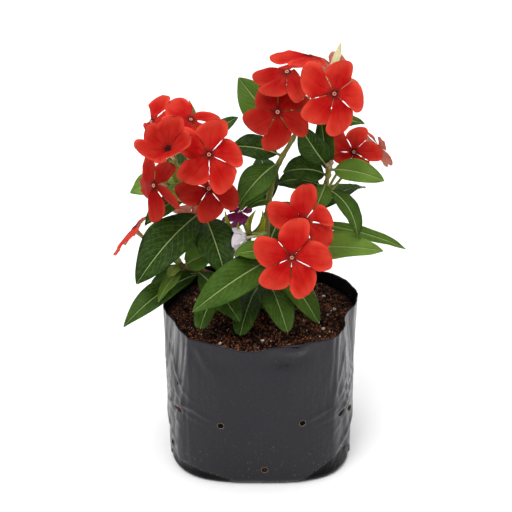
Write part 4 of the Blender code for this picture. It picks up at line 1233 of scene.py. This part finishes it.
# How much darker some blooms are painted: shade for blooms that lie under others, partly a deeper red
SHADE_AND_DEEPER_RED = {"bloom_crown_low": 0.48, "bloom_left_drop": 0.5, "bloom_left_under": 0.42, "bloom_crown_high": 0.3,
          "bloom_left_cup": 0.15, "bloom_left_back": 0.5, "bloom_second": 0.06}

# A corolla's finishes in the order of its materials
FACE, BACK, COLLAR, EYE, PINHOLE, TUBE = range(6)

# The mouth turned round the bloom's axis: (radius, depth behind the eye in mm, finish)
MOUTH_PROFILE = ((0.3, 1.6, PINHOLE), (0.36, 0.1, PINHOLE), (0.55, -0.42, EYE), (0.9, -0.62, EYE),
                 (1.2, -0.45, EYE), (1.4, -0.05, COLLAR), (1.7, 0.1, COLLAR), (2.3, 0.3, COLLAR),
                 (2.3, 0.6, COLLAR), (1.75, 1.1, TUBE))

# The tube behind it: (share of its length, radius)
TUBE_PROFILE = ((0.16, 1.5), (0.26, 1.55), (0.36, 1.35), (0.6, 1.15), (0.85, 1.05), (1.0, 1.1))
MOUTH_SIDES = 20
EYE_STAR = 0.07


def bloom_axes(face):
    """The way a bloom looks, its upward direction and the viewer's right."""
    looks = Vector(face).normalized()
    reference = Vector((0, 0, 1)) if abs(looks.z) < 0.88 else Vector((0, 1, 0))
    up = square_to(reference, looks)
    return looks, up, up.cross(looks)


def closed_cup(bloom):
    """Whether the lobes lap so far that no slits show between them, and the eye is painted dark as shade inside
    the cup.
    """
    return bloom.lap >= 3


def room_beside(bloom, number):
    """How far a lobe may spread at the mouth before it meets the lobes on either side."""
    turn = bloom.lobes[number].turn
    before = (turn - bloom.lobes[number - 1].turn) % 360 / 2
    after = (bloom.lobes[(number + 1) % 5].turn - turn) % 360 / 2
    return [min(WIDEST_SIDE, math.radians(share)) for share in (before, after)]


def add_lobe(shape, bloom, number, thickness, ripple, depth):
    """One lobe: a claw with slits beside it, a broad end cut off aslant, a soft channel down the middle."""
    looks, up, right = bloom_axes(bloom.face)
    lobe = bloom.lobes[number]
    angle = math.radians(lobe.turn)
    out = math.cos(angle) * up + math.sin(angle) * right
    across = -math.sin(angle) * up + math.cos(angle) * right
    middle = Vector(bloom.eye) + out * LOBE_ROOT
    distance = LOBE_ROOT
    before = 0.0
    upper, lower, place = [], [], []
    twist = math.radians(lobe.twist)
    room = room_beside(bloom, number)
    seed = Vector(bloom.eye) * 0.7 + Vector((number * 9.1, 0, 0))
    for row in range(LOBE_ROWS + 1):
        t = math.sin(math.pi / 2 * row / LOBE_ROWS)
        slope = math.radians(lobe.lift - LOBE_BEND * t)
        step = (lobe.reach - LOBE_ROOT) * (t - before)
        before = t
        ahead = math.cos(slope) * out + math.sin(slope) * looks
        middle = middle + step * ahead
        distance += step * math.cos(slope)
        normal = math.cos(slope) * looks - math.sin(slope) * out
        full = 0.4 + 0.6 * smooth_share(t, -0.1, 0.5)
        end = max(0.0, (t - 0.45) / 0.55)
        half = lobe.width / 2 * full * math.sqrt(max(0.0, 1 - end ** 3.8))
        skew = LOBE_SKEW * lobe.reach * t ** 2
        slit = -0.5 if closed_cup(bloom) else SLIT * smooth_share(distance, 2.6, 4.6)
        spill = (SLIT + bloom.lap) * smooth_share(t, 0.3, 0.75) - slit
        near = max(0.2, min(half, distance * math.tan(room[0]) + spill + skew))
        far = max(0.2, min(half, distance * math.tan(room[1]) + spill - skew))
        side = math.cos(twist) * across + math.sin(twist) * normal
        slant = LOBE_SLANT * smooth_share(t, 0.3, 1.0)
        for col in range(-LOBE_HALF_COLS, LOBE_HALF_COLS + 1):
            s = math.sin(math.pi / 2 * col / LOBE_HALF_COLS)
            reached = s * (far if s > 0 else near)
            flat = middle + across * skew + side * reached + ahead * slant * reached
            soft = ripple * noise.noise(seed + Vector((t * 1.9, s * 1.1, 0))) * smooth_share(t, 0.1, 0.7)
            frill = ripple * 0.5 * noise.noise(seed + Vector((t * 5, s * 3.5, 4))) * s * s
            edge = frill * smooth_share(t, 0.3, 0.8)
            channel = -CHANNEL_DEPTH * math.exp(-(s / CHANNEL_WIDTH) ** 2)
            channel *= smooth_share(t, 0.05, 0.3) * smooth_share(1 - t, 0, 0.5)
            droop = -LOBE_DROOP * half * s * s * smooth_share(t, 0.1, 0.5)
            # Each lobe's near side lies a little under its neighbour's far side, as in a pinwheel
            lap = -LOBE_LAP * s * smooth_share(t, 0.2, 0.6)
            top = flat + normal * (soft + edge + channel + droop + lap)
            upper.append(top)
            lower.append(top - normal * thickness)
            place.append((t, (s + 1) / 2))
    faces, finish = sheet_faces(LOBE_ROWS + 1, 2 * LOBE_HALF_COLS + 1)
    # Each point carries its bloom's darkening: painted shade, partly a deeper red
    shape.add_shell(upper + lower, faces, finish, place + place, depth=[depth] * (2 * len(upper)))


def add_mouth(shape, bloom):
    """The pale eye with its pinhole, the dark collar round it and the tube behind."""
    looks, up, right = bloom_axes(bloom.face)
    size = min(1.0, bloom.tube / 15)
    profile = [(radius * size, depth * size, finish) for radius, depth, finish in MOUTH_PROFILE]
    profile += [(radius * size, bloom.tube * share, TUBE) for share, radius in TUBE_PROFILE]
    eye = Vector(bloom.eye)
    rings = []
    for radius, depth, finish in profile:
        star = EYE_STAR if depth < 0 else 0.0
        ring = []
        for turn in even_turns(MOUTH_SIDES):
            spread = radius * (1 + star * math.cos(5 * turn - 5 * math.radians(bloom.lobes[0].turn)))
            ring.append(eye - looks * depth + spread * (math.cos(turn) * up + math.sin(turn) * right))
        rings.append(ring)
    bands = [finish for radius, depth, finish in profile[1:]]
    # In a closed cup the pale eye takes the dark collar finish: painted shade inside the cup
    if closed_cup(bloom):
        bands = [COLLAR if finish == EYE else finish for finish in bands]
    shape.add_rings(eye - looks * profile[0][1], rings, eye - looks * bloom.tube,
                    ([PINHOLE, TUBE] + bands) * MOUTH_SIDES)


def petal_finish(name, roughness, middle, throat, tip, streak):
    """Velvety petal: dark by the mouth, paler at the end, with fine streaks that run out from the eye."""
    skin = Finish(name, roughness, Specular_IOR_Level=0.03)
    along, across = skin.sheet_place()
    deep = tuple(channel * share for channel, share in zip(middle, (0.84, 0.1, 0.35)))
    dusk = tuple(channel * share for channel, share in zip(middle, (0.36, 0.07, 0.3)))
    fan = skin.ramp(along, ((0.0, throat), (0.03, throat), (0.09, dusk), (0.18, deep), (0.38, deep),
                            (0.7, middle), (1.0, tip)))
    sideways = skin.node("ShaderNodeSeparateXYZ", {0: skin.where}).outputs[0]
    lines = skin.vector(skin.calc("MULTIPLY", across, 26.0), skin.calc("MULTIPLY", along, 2.2),
                        skin.calc("MULTIPLY", sideways, 60.0))
    streaks = skin.grain(1.0, 3, where=lines)
    cloudy = skin.grain(90, 3)
    streaked = skin.blend(skin.soft_step(streaks, 0.3, 0.75, 0.0, streak), fan, opaque(middle, 0.62))
    soft = skin.blend(skin.soft_step(cloudy, 0.35, 0.75, 0.0, 0.35), streaked, opaque(tip))
    edge = skin.calc("ABSOLUTE", skin.calc("MULTIPLY_ADD", across, 2.0, -1.0))
    rim = skin.calc("MAXIMUM", skin.soft_step(edge, 0.985, 1.0), skin.soft_step(along, 0.992, 1.0))
    margin = skin.calc("MULTIPLY", skin.soft_step(edge, 0.55, 1.0), skin.soft_step(along, 0.3, 0.7, 0.0, 0.8))
    soft = skin.blend(margin, soft, opaque(tip, 1.1))
    # Painted shade down the middle of each lobe, where its channel dips, fading towards the lobe's end
    fold = skin.calc("MULTIPLY", skin.soft_step(edge, 0.0, 0.12, 0.45, 0.0),
                     skin.soft_step(along, 0.35, 0.8, 1.0, 0.0))
    soft = skin.blend(fold, soft, opaque(deep, 0.75))
    # A thin darker line along each lobe's sides and end: painted shade at the edge
    edged = skin.blend(skin.calc("MULTIPLY", rim, 0.3), soft, opaque(middle, 0.5))
    # The depth data darkens a whole bloom towards dark red: painted shade under other blooms, partly a deeper
    # red
    skin.paint(skin.blend(skin.point_data("depth"), edged, opaque(middle, 0.3)))
    normal = skin.raise_skin(streaks, 0.00025)
    skin.wear(skin.raise_skin(skin.grain(1500, 2), 0.00005, normal))
    return skin.material


def petal_back_finish(name, colour, edge_colour):
    """The paler, duller back of a petal."""
    skin = Finish(name, 0.6, Specular_IOR_Level=0.06)
    along, across = skin.sheet_place()
    lines = skin.vector(skin.calc("MULTIPLY", across, 22.0), skin.calc("MULTIPLY", along, 2.0), 0.0)
    streaks = skin.grain(1.0, 3, where=lines)
    tone = skin.blend(along, opaque(colour), opaque(edge_colour))
    skin.paint(skin.blend(skin.soft_step(streaks, 0.35, 0.75, 0.0, 0.3), tone, opaque(colour, 0.7)))
    skin.wear(skin.raise_skin(skin.calc("ADD", streaks, skin.grain(700, 2)), 0.0002))
    return skin.material


def mottled_finish(name, first, second, roughness, scale, bump=0.0001):
    """A small part's finish that drifts between two colours."""
    skin = Finish(name, roughness, Specular_IOR_Level=0.2)
    cloud = skin.grain(scale, 3)
    skin.paint(skin.blend(skin.soft_step(cloud, 0.35, 0.65), opaque(first), opaque(second)))
    if bump:
        skin.wear(skin.raise_skin(cloud, bump))
    return skin.material


def stem_finish():
    """Fine-haired bark that takes its colour from the limb's own points."""
    bark = Finish("stem_skin", 0.55, Specular_IOR_Level=0.15)
    own = bark.point_data("skin", "Color")
    patches = bark.grain(320, 4, (1.0, 1.0, 0.35))
    aged = bark.blend(bark.soft_step(patches, 0.35, 0.7, 0.0, 0.3), own, (0.12, 0.085, 0.03, 1.0))
    glow = bark.grain(120, 2)
    bark.paint(bark.blend(bark.soft_step(glow, 0.4, 0.7, 0.0, 0.2), aged, (0.42, 0.46, 0.10, 1.0)))
    bark.wear(bark.raise_skin(patches, 0.0003))
    return bark.material


# Swelling of a limb at its joints, and the heights between which its bark turns from brown to green
JOINT_SWELL = 0.45
JOINT_SPREAD = 1.6
BARK_HEIGHTS = (125, 185)


class Limbs:
    """Paths with a radius and a skin colour for each point, for the bars of one stem."""

    def __init__(self):
        self.points = []
        self.edges = []
        self.girth = []
        self.skin = []

    def add(self, path, radii, skins):
        """Adds one bar, with its radii and skins spread evenly along the path."""
        start = len(self.points)
        last = len(path) - 1
        for number, point in enumerate(path):
            share = number / last
            self.points.append(point)
            self.girth.append(read_evenly(radii, share) * MM)
            colour = [read_evenly([skin[i] for skin in skins], share) for i in range(3)]
            self.skin += [*colour, 1.0]
        self.edges += [(number, number + 1) for number in range(start, start + last)]

    def make(self, name, tree, material):
        """The bars as one piece, made by the tree."""
        mesh = bpy.data.meshes.new(name)
        mesh.from_pydata([Vector(point) * MM for point in self.points], self.edges, [])
        column = mesh.attributes.new("girth", "FLOAT", "POINT")
        column.data.foreach_set("value", self.girth)
        column = mesh.attributes.new("skin", "FLOAT_COLOR", "POINT")
        column.data.foreach_set("color", self.skin)
        thing = link_object(name, mesh)
        tree.run_on(thing, Sides=12, Material=material)
        return thing


def add_stem(limbs, line):
    """The limb itself, swollen where leaves and branches leave it, brown low down."""
    spec = line.spec
    path = smooth_path(line.points, 10)
    joints = [leaf.at for leaf in LEAVES + SPROUTS if leaf.stem == spec.name]
    joints += [other.parent[1] for other in STEMS if other.parent and other.parent[0] == spec.name]
    lengths = [0.0]
    for a, b in zip(path, path[1:]):
        lengths.append(lengths[-1] + (b - a).length)
    radii, skins = [], []
    for length in lengths:
        at = length / lengths[-1]
        radius = spec.thick + (spec.thin - spec.thick) * at
        for joint in joints:
            radius += JOINT_SWELL * math.exp(-((at - joint) * line.length / JOINT_SPREAD) ** 2)
        radii.append(radius)
        height = read_evenly([point.z for point in path], at)
        skins.append(tuple(a + (b - a) * smooth_share(height, *BARK_HEIGHTS) for a, b in zip(BROWN, OLIVE)))
    radii[-1] *= 0.6
    if spec.parent:
        first = path[0] - (path[1] - path[0]).normalized() * (FORK_GAP + 1.5)
        path = [first] + path
        radii = [radii[0] * 1.1] + radii
        skins = [skins[0]] + skins
    limbs.add(path, radii, skins)


def add_stalk(limbs, bloom, lines):
    """A flower stalk with the five narrow sepals that clasp the tube."""
    looks, up, right = bloom_axes(bloom.face)
    start = lines[bloom.stem].read(bloom.at)[0]
    cup = Vector(bloom.eye) - looks * (bloom.tube - 0.2)
    foot = cup - looks * CUP_LENGTH
    reach = (foot - start).length
    path = bow_path(start, foot - looks * reach * STALK_BOW, foot, 12) + [foot.lerp(cup, 0.5), cup]
    radii = [0.9] * 11 + [0.95, 1.1, 1.35, 1.25]
    limbs.add(path, radii, [OLIVE, GREEN, GREEN])
    for number in range(5):
        turn = 2 * math.pi * (number + 0.3) / 5
        out = math.cos(turn) * up + math.sin(turn) * right
        root = foot.lerp(cup, 0.6) + out * 0.9
        sepal = [root] + [cup + out * away + looks * ahead for away, ahead in SEPAL]
        limbs.add(smooth_path(sepal, 2), [0.5, 0.55, 0.4, 0.12], [GREEN, GREEN, OLIVE])


def add_twig(limbs, twig, lines):
    """A bud or a pod on its own short stalk."""
    start = lines[twig.stem].read(twig.at)[0]
    tip = Vector(twig.tip)
    path = bow_path(start, (start + tip) / 2 + 2 * Vector(twig.bow), tip, 15)
    limbs.add(path, list(twig.radii[:-1]) + [twig.radii[-1] * 0.5], [OLIVE, twig.skin, twig.skin])


# Sizes and colours that a user would change

def length_value(name, description, default, high, low=0.0, precision=5):
    """A length in metres."""
    return bpy.props.FloatProperty(name=name, description=description, default=default, min=low, max=high,
                                   unit="LENGTH", precision=precision)


def colour_value(name, description, default):
    """A colour in linear light."""
    return bpy.props.FloatVectorProperty(name=name, description=description, default=default, min=0.0, max=1.0,
                                         subtype="COLOR")


def factor_value(name, description, default):
    """A share from 0 to 1."""
    return bpy.props.FloatProperty(name=name, description=description, default=default, min=0.0, max=1.0,
                                   subtype="FACTOR")


def plain_value(name, description, default, high):
    """A number without a unit."""
    return bpy.props.FloatProperty(name=name, description=description, default=default, min=0.0, max=high)


class BagSettings(bpy.types.PropertyGroup):
    thickness: length_value("Film Thickness", "Thickness of the bag's film", 0.0004, 0.001, 0.0001)
    colour: colour_value("Film Colour", "Colour of the bag's film", (0.0040, 0.0038, 0.0058))
    roughness: factor_value("Film Roughness", "How dull the film's sheen is", 0.25)
    lip: length_value("Hole Lip", "Thickness of the lip round each drain hole", 0.00028, 0.001)


class SoilSettings(bpy.types.PropertyGroup):
    dark: colour_value("Wet Colour", "Darkest colour of the soil", (0.004, 0.0018, 0.0012))
    light: colour_value("Dry Colour", "Lightest colour of the soil", (0.25, 0.084, 0.04))
    crumbs: plain_value("Crumb Density", "Crumbs for each square metre of soil", 330000.0, 1000000.0)
    crumb: length_value("Crumb Size", "Size of the largest crumb", 0.0024, 0.01, 0.0005, 4)
    fibres: plain_value("Fibre Density", "Fibres for each square metre of soil", 22000.0, 200000.0)
    seed: bpy.props.IntProperty(name="Seed", description="Changes where the crumbs lie", default=7, min=0)


class LeafSettings(bpy.types.PropertyGroup):
    thickness: length_value("Blade Thickness", "Thickness of a leaf beside its rib", 0.0004, 0.001, 0.0001)
    quilt: length_value("Quilting", "How far the blade rises between its veins", 0.00022, 0.001)
    colour: colour_value("Leaf Colour", "Middle green of the leaves", (0.015, 0.041, 0.003))
    young: colour_value("Young Colour", "Green of the young leaves", (0.10, 0.195, 0.022))
    vein: colour_value("Vein Colour", "Colour of the rib and the veins", (0.25, 0.38, 0.08))
    roughness: factor_value("Leaf Roughness", "How dull the leaf's satin is", 0.4)


class BloomSettings(bpy.types.PropertyGroup):
    thickness: length_value("Petal Thickness", "Thickness of a petal", 0.0003, 0.001, 0.0001)
    ripple: length_value("Ripple", "How far petals swell and dip", 0.0021, 0.004, precision=4)
    colour: colour_value("Red", "Colour of the red petals", (0.495, 0.015, 0.009))
    coral: colour_value("Petal End", "Colour at the red petals' ends", (0.62, 0.055, 0.032))
    violet: colour_value("Purple", "Colour of the purple petals", (0.21, 0.02, 0.12))
    roughness: factor_value("Petal Roughness", "How velvety petals look", 0.55)


class StageSettings(bpy.types.PropertyGroup):
    overhead: plain_value("Overhead Glow", "Brightness of the surround overhead", 1.9, 10.0)
    horizon: plain_value("Horizon Glow", "Brightness of the surround at eye level", 0.15, 10.0)
    beside: plain_value("Side Glow", "Brightness of the surround at either side", 0.9, 10.0)
    key: plain_value("Key Light", "Strength of the light from the upper left", 1.0, 100.0)


class PERIWINKLE_OT_bag(bpy.types.Operator):
    """Film bag with its creases, pleats, corner tucks and punched drain holes"""
    bl_idname = "periwinkle.bag"
    bl_label = "Nursery Bag"

    def execute(self, context):
        bag = context.scene.periwinkle_bag
        thickness = bag.thickness / MM
        shape = Shape()
        shape.add_rings(Vector((0, 0, 0)), film_rings(thickness), Vector((0, 0, thickness)))
        film = shape.make("bag_film", [film_finish(bag)])
        cut_holes(film)
        paint_shade_on_tucks(film)
        claim(film, ["bag"])
        places = [film_place(degrees, height) for degrees, height in DRAIN_HOLES]
        lips = point_cloud("bag_hole_lips", [here - out * 0.1 for here, out in places],
                           way_out=[tuple(out) for here, out in places])
        eyelet_tree().run_on(lips, Radius=HOLE_RADIUS * MM, Lip=bag.lip, Material=eyelet_finish())
        claim(lips, [])
        return {"FINISHED"}


class PERIWINKLE_OT_soil(bpy.types.Operator):
    """Potting soil with crumbs, fibres and white perlite"""
    bl_idname = "periwinkle.soil"
    bl_label = "Potting Soil"

    def execute(self, context):
        soil = context.scene.periwinkle_soil
        ground = soil_shape().make("soil_ball", [soil_finish("soil_peat", soil.dark, soil.light)])
        claim(ground, ["soil"])
        scatter = grain_tree("grains_on_soil", False)
        crumbs = soil_patch("soil_crumbs")
        scatter.run_on(crumbs, Density=soil.crumbs, Smallest=soil.crumb * 0.35, Largest=soil.crumb,
                       Stretch=(1.0, 0.8, 0.7), Roughness=0.5, Seed=soil.seed,
                       Material=soil_finish("soil_crumb", soil.dark, soil.light))
        claim(crumbs, [])
        fibres = soil_patch("soil_fibres")
        scatter.run_on(fibres, Density=soil.fibres, Smallest=0.0018, Largest=0.0045, Stretch=(1.0, 0.16, 0.16),
                       Roughness=0.12, Seed=soil.seed + 1,
                       Material=mottled_finish("soil_fibre", (0.13, 0.05, 0.022), (0.38, 0.2, 0.08), 0.8, 300))
        claim(fibres, [])
        draw = random.Random(soil.seed)
        seen = [(x, y, crumbly_top(x, y) + 0.5) for x, y in PERLITE]
        guessed = []
        while len(seen) + len(guessed) < PERLITE_COUNT:
            angle = draw.uniform(-math.pi, math.pi)
            away = math.sqrt(draw.random()) * (film_radius(angle, SOIL_EDGE) - 4)
            x = away * math.cos(angle)
            y = away * math.sin(angle)
            guessed.append((x, y, crumbly_top(x, y) + 0.4))
        grains = grain_tree("grains_on_points", True)
        white = perlite_finish()
        for name, spots, size in (("soil_perlite", seen, 0.0032), ("soil_perlite_fine", guessed, 0.0013)):
            piece = point_cloud(name, spots)
            grains.run_on(piece, Smallest=size * 0.55, Largest=size, Stretch=(1.0, 0.85, 0.8), Roughness=0.5,
                          Seed=soil.seed + 2, Material=white)
            claim(piece, [])
        return {"FINISHED"}


class PERIWINKLE_OT_stems(bpy.types.Operator):
    """Stems, flower stalks with their sepals, buds and seed pods"""
    bl_idname = "periwinkle.stems"
    bl_label = "Stems"

    def execute(self, context):
        lines = stem_lines()
        tree = limb_tree()
        bark = stem_finish()
        for spec in STEMS:
            limbs = Limbs()
            add_stem(limbs, lines[spec.name])
            for bloom in BLOOMS:
                if bloom.stem == spec.name:
                    add_stalk(limbs, bloom, lines)
            for twig in TWIGS:
                if twig.stem == spec.name:
                    add_twig(limbs, twig, lines)
            piece = limbs.make(spec.name + "_fine", tree, bark)
            claim(piece, [spec.name])
        return {"FINISHED"}


class PERIWINKLE_OT_leaves(bpy.types.Operator):
    """Leaf blades with their ribs and veins"""
    bl_idname = "periwinkle.leaves"
    bl_label = "Leaves"

    def execute(self, context):
        leaf_look = context.scene.periwinkle_leaf
        lines = stem_lines()
        skins = [leaf_finish("leaf_top", leaf_look, False), leaf_finish("leaf_under", leaf_look, True)]
        for number, leaf in enumerate(LEAVES + SPROUTS):
            shape = Shape()
            add_leaf(shape, leaf, lines, leaf_look.thickness / MM, leaf_look.quilt / MM, number)
            piece = shape.make(leaf.name + "_fine", skins)
            claim(piece, [leaf.name] if leaf in LEAVES else [])
        return {"FINISHED"}


def make_blooms(look, purple, skins):
    """Every corolla of one plant, each as its own piece."""
    for bloom in BLOOMS:
        if ("purple" in bloom.name) != purple:
            continue
        shape = Shape()
        for number, lobe in enumerate(bloom.lobes):
            add_lobe(shape, bloom, number, look.thickness / MM, look.ripple / MM * lobe.reach / 25,
                     SHADE_AND_DEEPER_RED.get(bloom.name, 0.0))
        add_mouth(shape, bloom)
        piece = shape.make(bloom.name + "_fine", skins)
        claim(piece, [bloom.name])


class PERIWINKLE_OT_red_blooms(bpy.types.Operator):
    """Red corollas with their dark eyes"""
    bl_idname = "periwinkle.red_blooms"
    bl_label = "Red Blooms"

    def execute(self, context):
        look = context.scene.periwinkle_bloom
        skins = [
            petal_finish("petal_scarlet_face", look.roughness, look.colour, (0.035, 0.001, 0.003),
                         tuple(look.coral), 0.45),
            petal_back_finish("petal_scarlet_back", (0.60, 0.13, 0.085), (0.74, 0.30, 0.22)),
            mottled_finish("collar_maroon", (0.022, 0.001, 0.002), (0.045, 0.001, 0.003), 0.7, 900),
            mottled_finish("eye_pale", (0.62, 0.26, 0.17), (0.48, 0.16, 0.11), 0.6, 1200),
            # The pinhole's near-black is painted shade in the mouth of the tube
            mottled_finish("eye_pinhole", (0.03, 0.004, 0.004), (0.05, 0.008, 0.006), 0.7, 900),
            mottled_finish("tube_blush", (0.40, 0.30, 0.13), (0.50, 0.22, 0.14), 0.55, 260),
        ]
        make_blooms(look, False, skins)
        return {"FINISHED"}


class PERIWINKLE_OT_purple_blooms(bpy.types.Operator):
    """Purple corollas with white backs"""
    bl_idname = "periwinkle.purple_blooms"
    bl_label = "Purple Blooms"

    def execute(self, context):
        look = context.scene.periwinkle_bloom
        skins = [
            petal_finish("petal_violet_face", look.roughness, look.violet, (0.10, 0.005, 0.06),
                         (0.25, 0.05, 0.17), 0.3),
            petal_back_finish("petal_violet_back", (0.80, 0.78, 0.80), (0.84, 0.80, 0.85)),
            mottled_finish("collar_violet", (0.10, 0.006, 0.07), (0.15, 0.01, 0.10), 0.6, 900),
            mottled_finish("eye_ivory", (0.62, 0.55, 0.38), (0.55, 0.42, 0.30), 0.55, 1200),
            # The pinhole's near-black is painted shade in the mouth of the tube
            mottled_finish("eye_violet_pinhole", (0.03, 0.004, 0.02), (0.05, 0.008, 0.03), 0.7, 900),
            mottled_finish("tube_green", (0.40, 0.42, 0.22), (0.55, 0.55, 0.42), 0.55, 260),
        ]
        make_blooms(look, True, skins)
        return {"FINISHED"}


# The photograph's viewpoint
CAMERA_RISE = math.radians(24.5)
CAMERA_DISTANCE = 0.760
CAMERA_TARGET = (-0.0029, 0.0, 0.1392)
CAMERA_FOCAL = 1162.8 / 512
SENSOR = 36

# The floor's half size and its level, in mm, and the way that the key light shines
FLOOR_HALF = 30000
FLOOR_LEVEL = -0.2
KEY_WAY = (0.35, 0.6, -1.0)


def lay_floor():
    """White paper under the bag."""
    corners = ((0, 0), (1, 0), (1, 1), (0, 1))
    floor = Shape()
    floor.points = [Vector(((2 * x - 1) * FLOOR_HALF, (2 * y - 1) * FLOOR_HALF, FLOOR_LEVEL))
                    for x, y in corners]
    floor.faces = [(0, 1, 2, 3)]
    floor.finish = [0]
    floor.place = list(corners)
    paper = mottled_finish("stage_paper", (0.93, 0.93, 0.93), (0.95, 0.95, 0.95), 0.9, 3, 0.0)
    floor.make("stage_floor", [paper])


def light_world(scene, stage):
    """A soft surround that is bright overhead and at either side, dim at eye level."""
    world = bpy.data.worlds.new("overhead_glow")
    world.use_nodes = True
    sky = Recipe(world.node_tree)
    way = sky.node("ShaderNodeTexCoord").outputs["Generated"]
    split = sky.node("ShaderNodeSeparateXYZ", {0: way}).outputs
    overhead = sky.soft_step(split["Z"], 0.3, 0.95, stage.horizon, stage.overhead)
    beside = sky.soft_step(sky.calc("ABSOLUTE", split["X"]), 0.5, 0.95, 0.0, stage.beside)
    background = world.node_tree.nodes["Background"].inputs
    background["Color"].default_value = (1.0, 1.0, 1.0, 1.0)
    sky.feed(background["Strength"], sky.calc("MAXIMUM", overhead, beside))
    scene.world = world


class PERIWINKLE_OT_stage(bpy.types.Operator):
    """White floor, soft lights and the camera"""
    bl_idname = "periwinkle.stage"
    bl_label = "Studio Stage"

    def execute(self, context):
        stage = context.scene.periwinkle_stage
        scene = context.scene
        lay_floor()
        light_world(scene, stage)
        lamp = bpy.data.lights.new("key_light", "SUN")
        lamp.energy = stage.key
        lamp.angle = math.radians(25)
        light = bpy.data.objects.new("key_light", lamp)
        light.rotation_euler = Vector(KEY_WAY).to_track_quat("-Z", "Y").to_euler()
        scene.collection.objects.link(light)
        camera = bpy.data.objects.new("camera", bpy.data.cameras.new("camera"))
        back = Vector((0, -math.cos(CAMERA_RISE), math.sin(CAMERA_RISE)))
        camera.location = Vector(CAMERA_TARGET) + CAMERA_DISTANCE * back
        camera.rotation_euler = (math.pi / 2 - CAMERA_RISE, 0, 0)
        camera.data.sensor_width = SENSOR
        camera.data.lens = CAMERA_FOCAL * SENSOR
        scene.collection.objects.link(camera)
        scene.camera = camera
        scene.view_settings.view_transform = "Standard"
        return {"FINISHED"}


OPERATORS = (PERIWINKLE_OT_stage, PERIWINKLE_OT_bag, PERIWINKLE_OT_soil, PERIWINKLE_OT_stems,
             PERIWINKLE_OT_leaves, PERIWINKLE_OT_red_blooms, PERIWINKLE_OT_purple_blooms)
SETTINGS = (("periwinkle_bag", BagSettings), ("periwinkle_soil", SoilSettings),
            ("periwinkle_leaf", LeafSettings), ("periwinkle_bloom", BloomSettings),
            ("periwinkle_stage", StageSettings))


class PERIWINKLE_PT_panel(bpy.types.Panel):
    bl_idname = "PERIWINKLE_PT_panel"
    bl_label = "Potted Periwinkle"
    bl_space_type = "VIEW_3D"
    bl_region_type = "UI"
    bl_category = "Periwinkle"

    def draw(self, context):
        for name, kind in SETTINGS:
            box = self.layout.box()
            group = getattr(context.scene, name)
            for key in kind.__annotations__:
                box.prop(group, key)
        for operator in OPERATORS:
            self.layout.operator(operator.bl_idname)


def register():
    """Registers the settings, the operators and the panel."""
    for name, kind in SETTINGS:
        bpy.utils.register_class(kind)
        setattr(bpy.types.Scene, name, bpy.props.PointerProperty(type=kind))
    for kind in OPERATORS + (PERIWINKLE_PT_panel,):
        bpy.utils.register_class(kind)


def unregister():
    """Takes everything out again, in the opposite order."""
    for kind in (PERIWINKLE_PT_panel,) + OPERATORS[::-1]:
        bpy.utils.unregister_class(kind)
    for name, kind in SETTINGS[::-1]:
        delattr(bpy.types.Scene, name)
        bpy.utils.unregister_class(kind)


def main():
    """Builds the whole scene."""
    register()
    bpy.ops.periwinkle.stage()
    bpy.ops.periwinkle.bag()
    bpy.ops.periwinkle.soil()
    bpy.ops.periwinkle.stems()
    bpy.ops.periwinkle.leaves()
    bpy.ops.periwinkle.red_blooms()
    bpy.ops.periwinkle.purple_blooms()


if __name__ == "__main__":
    main()
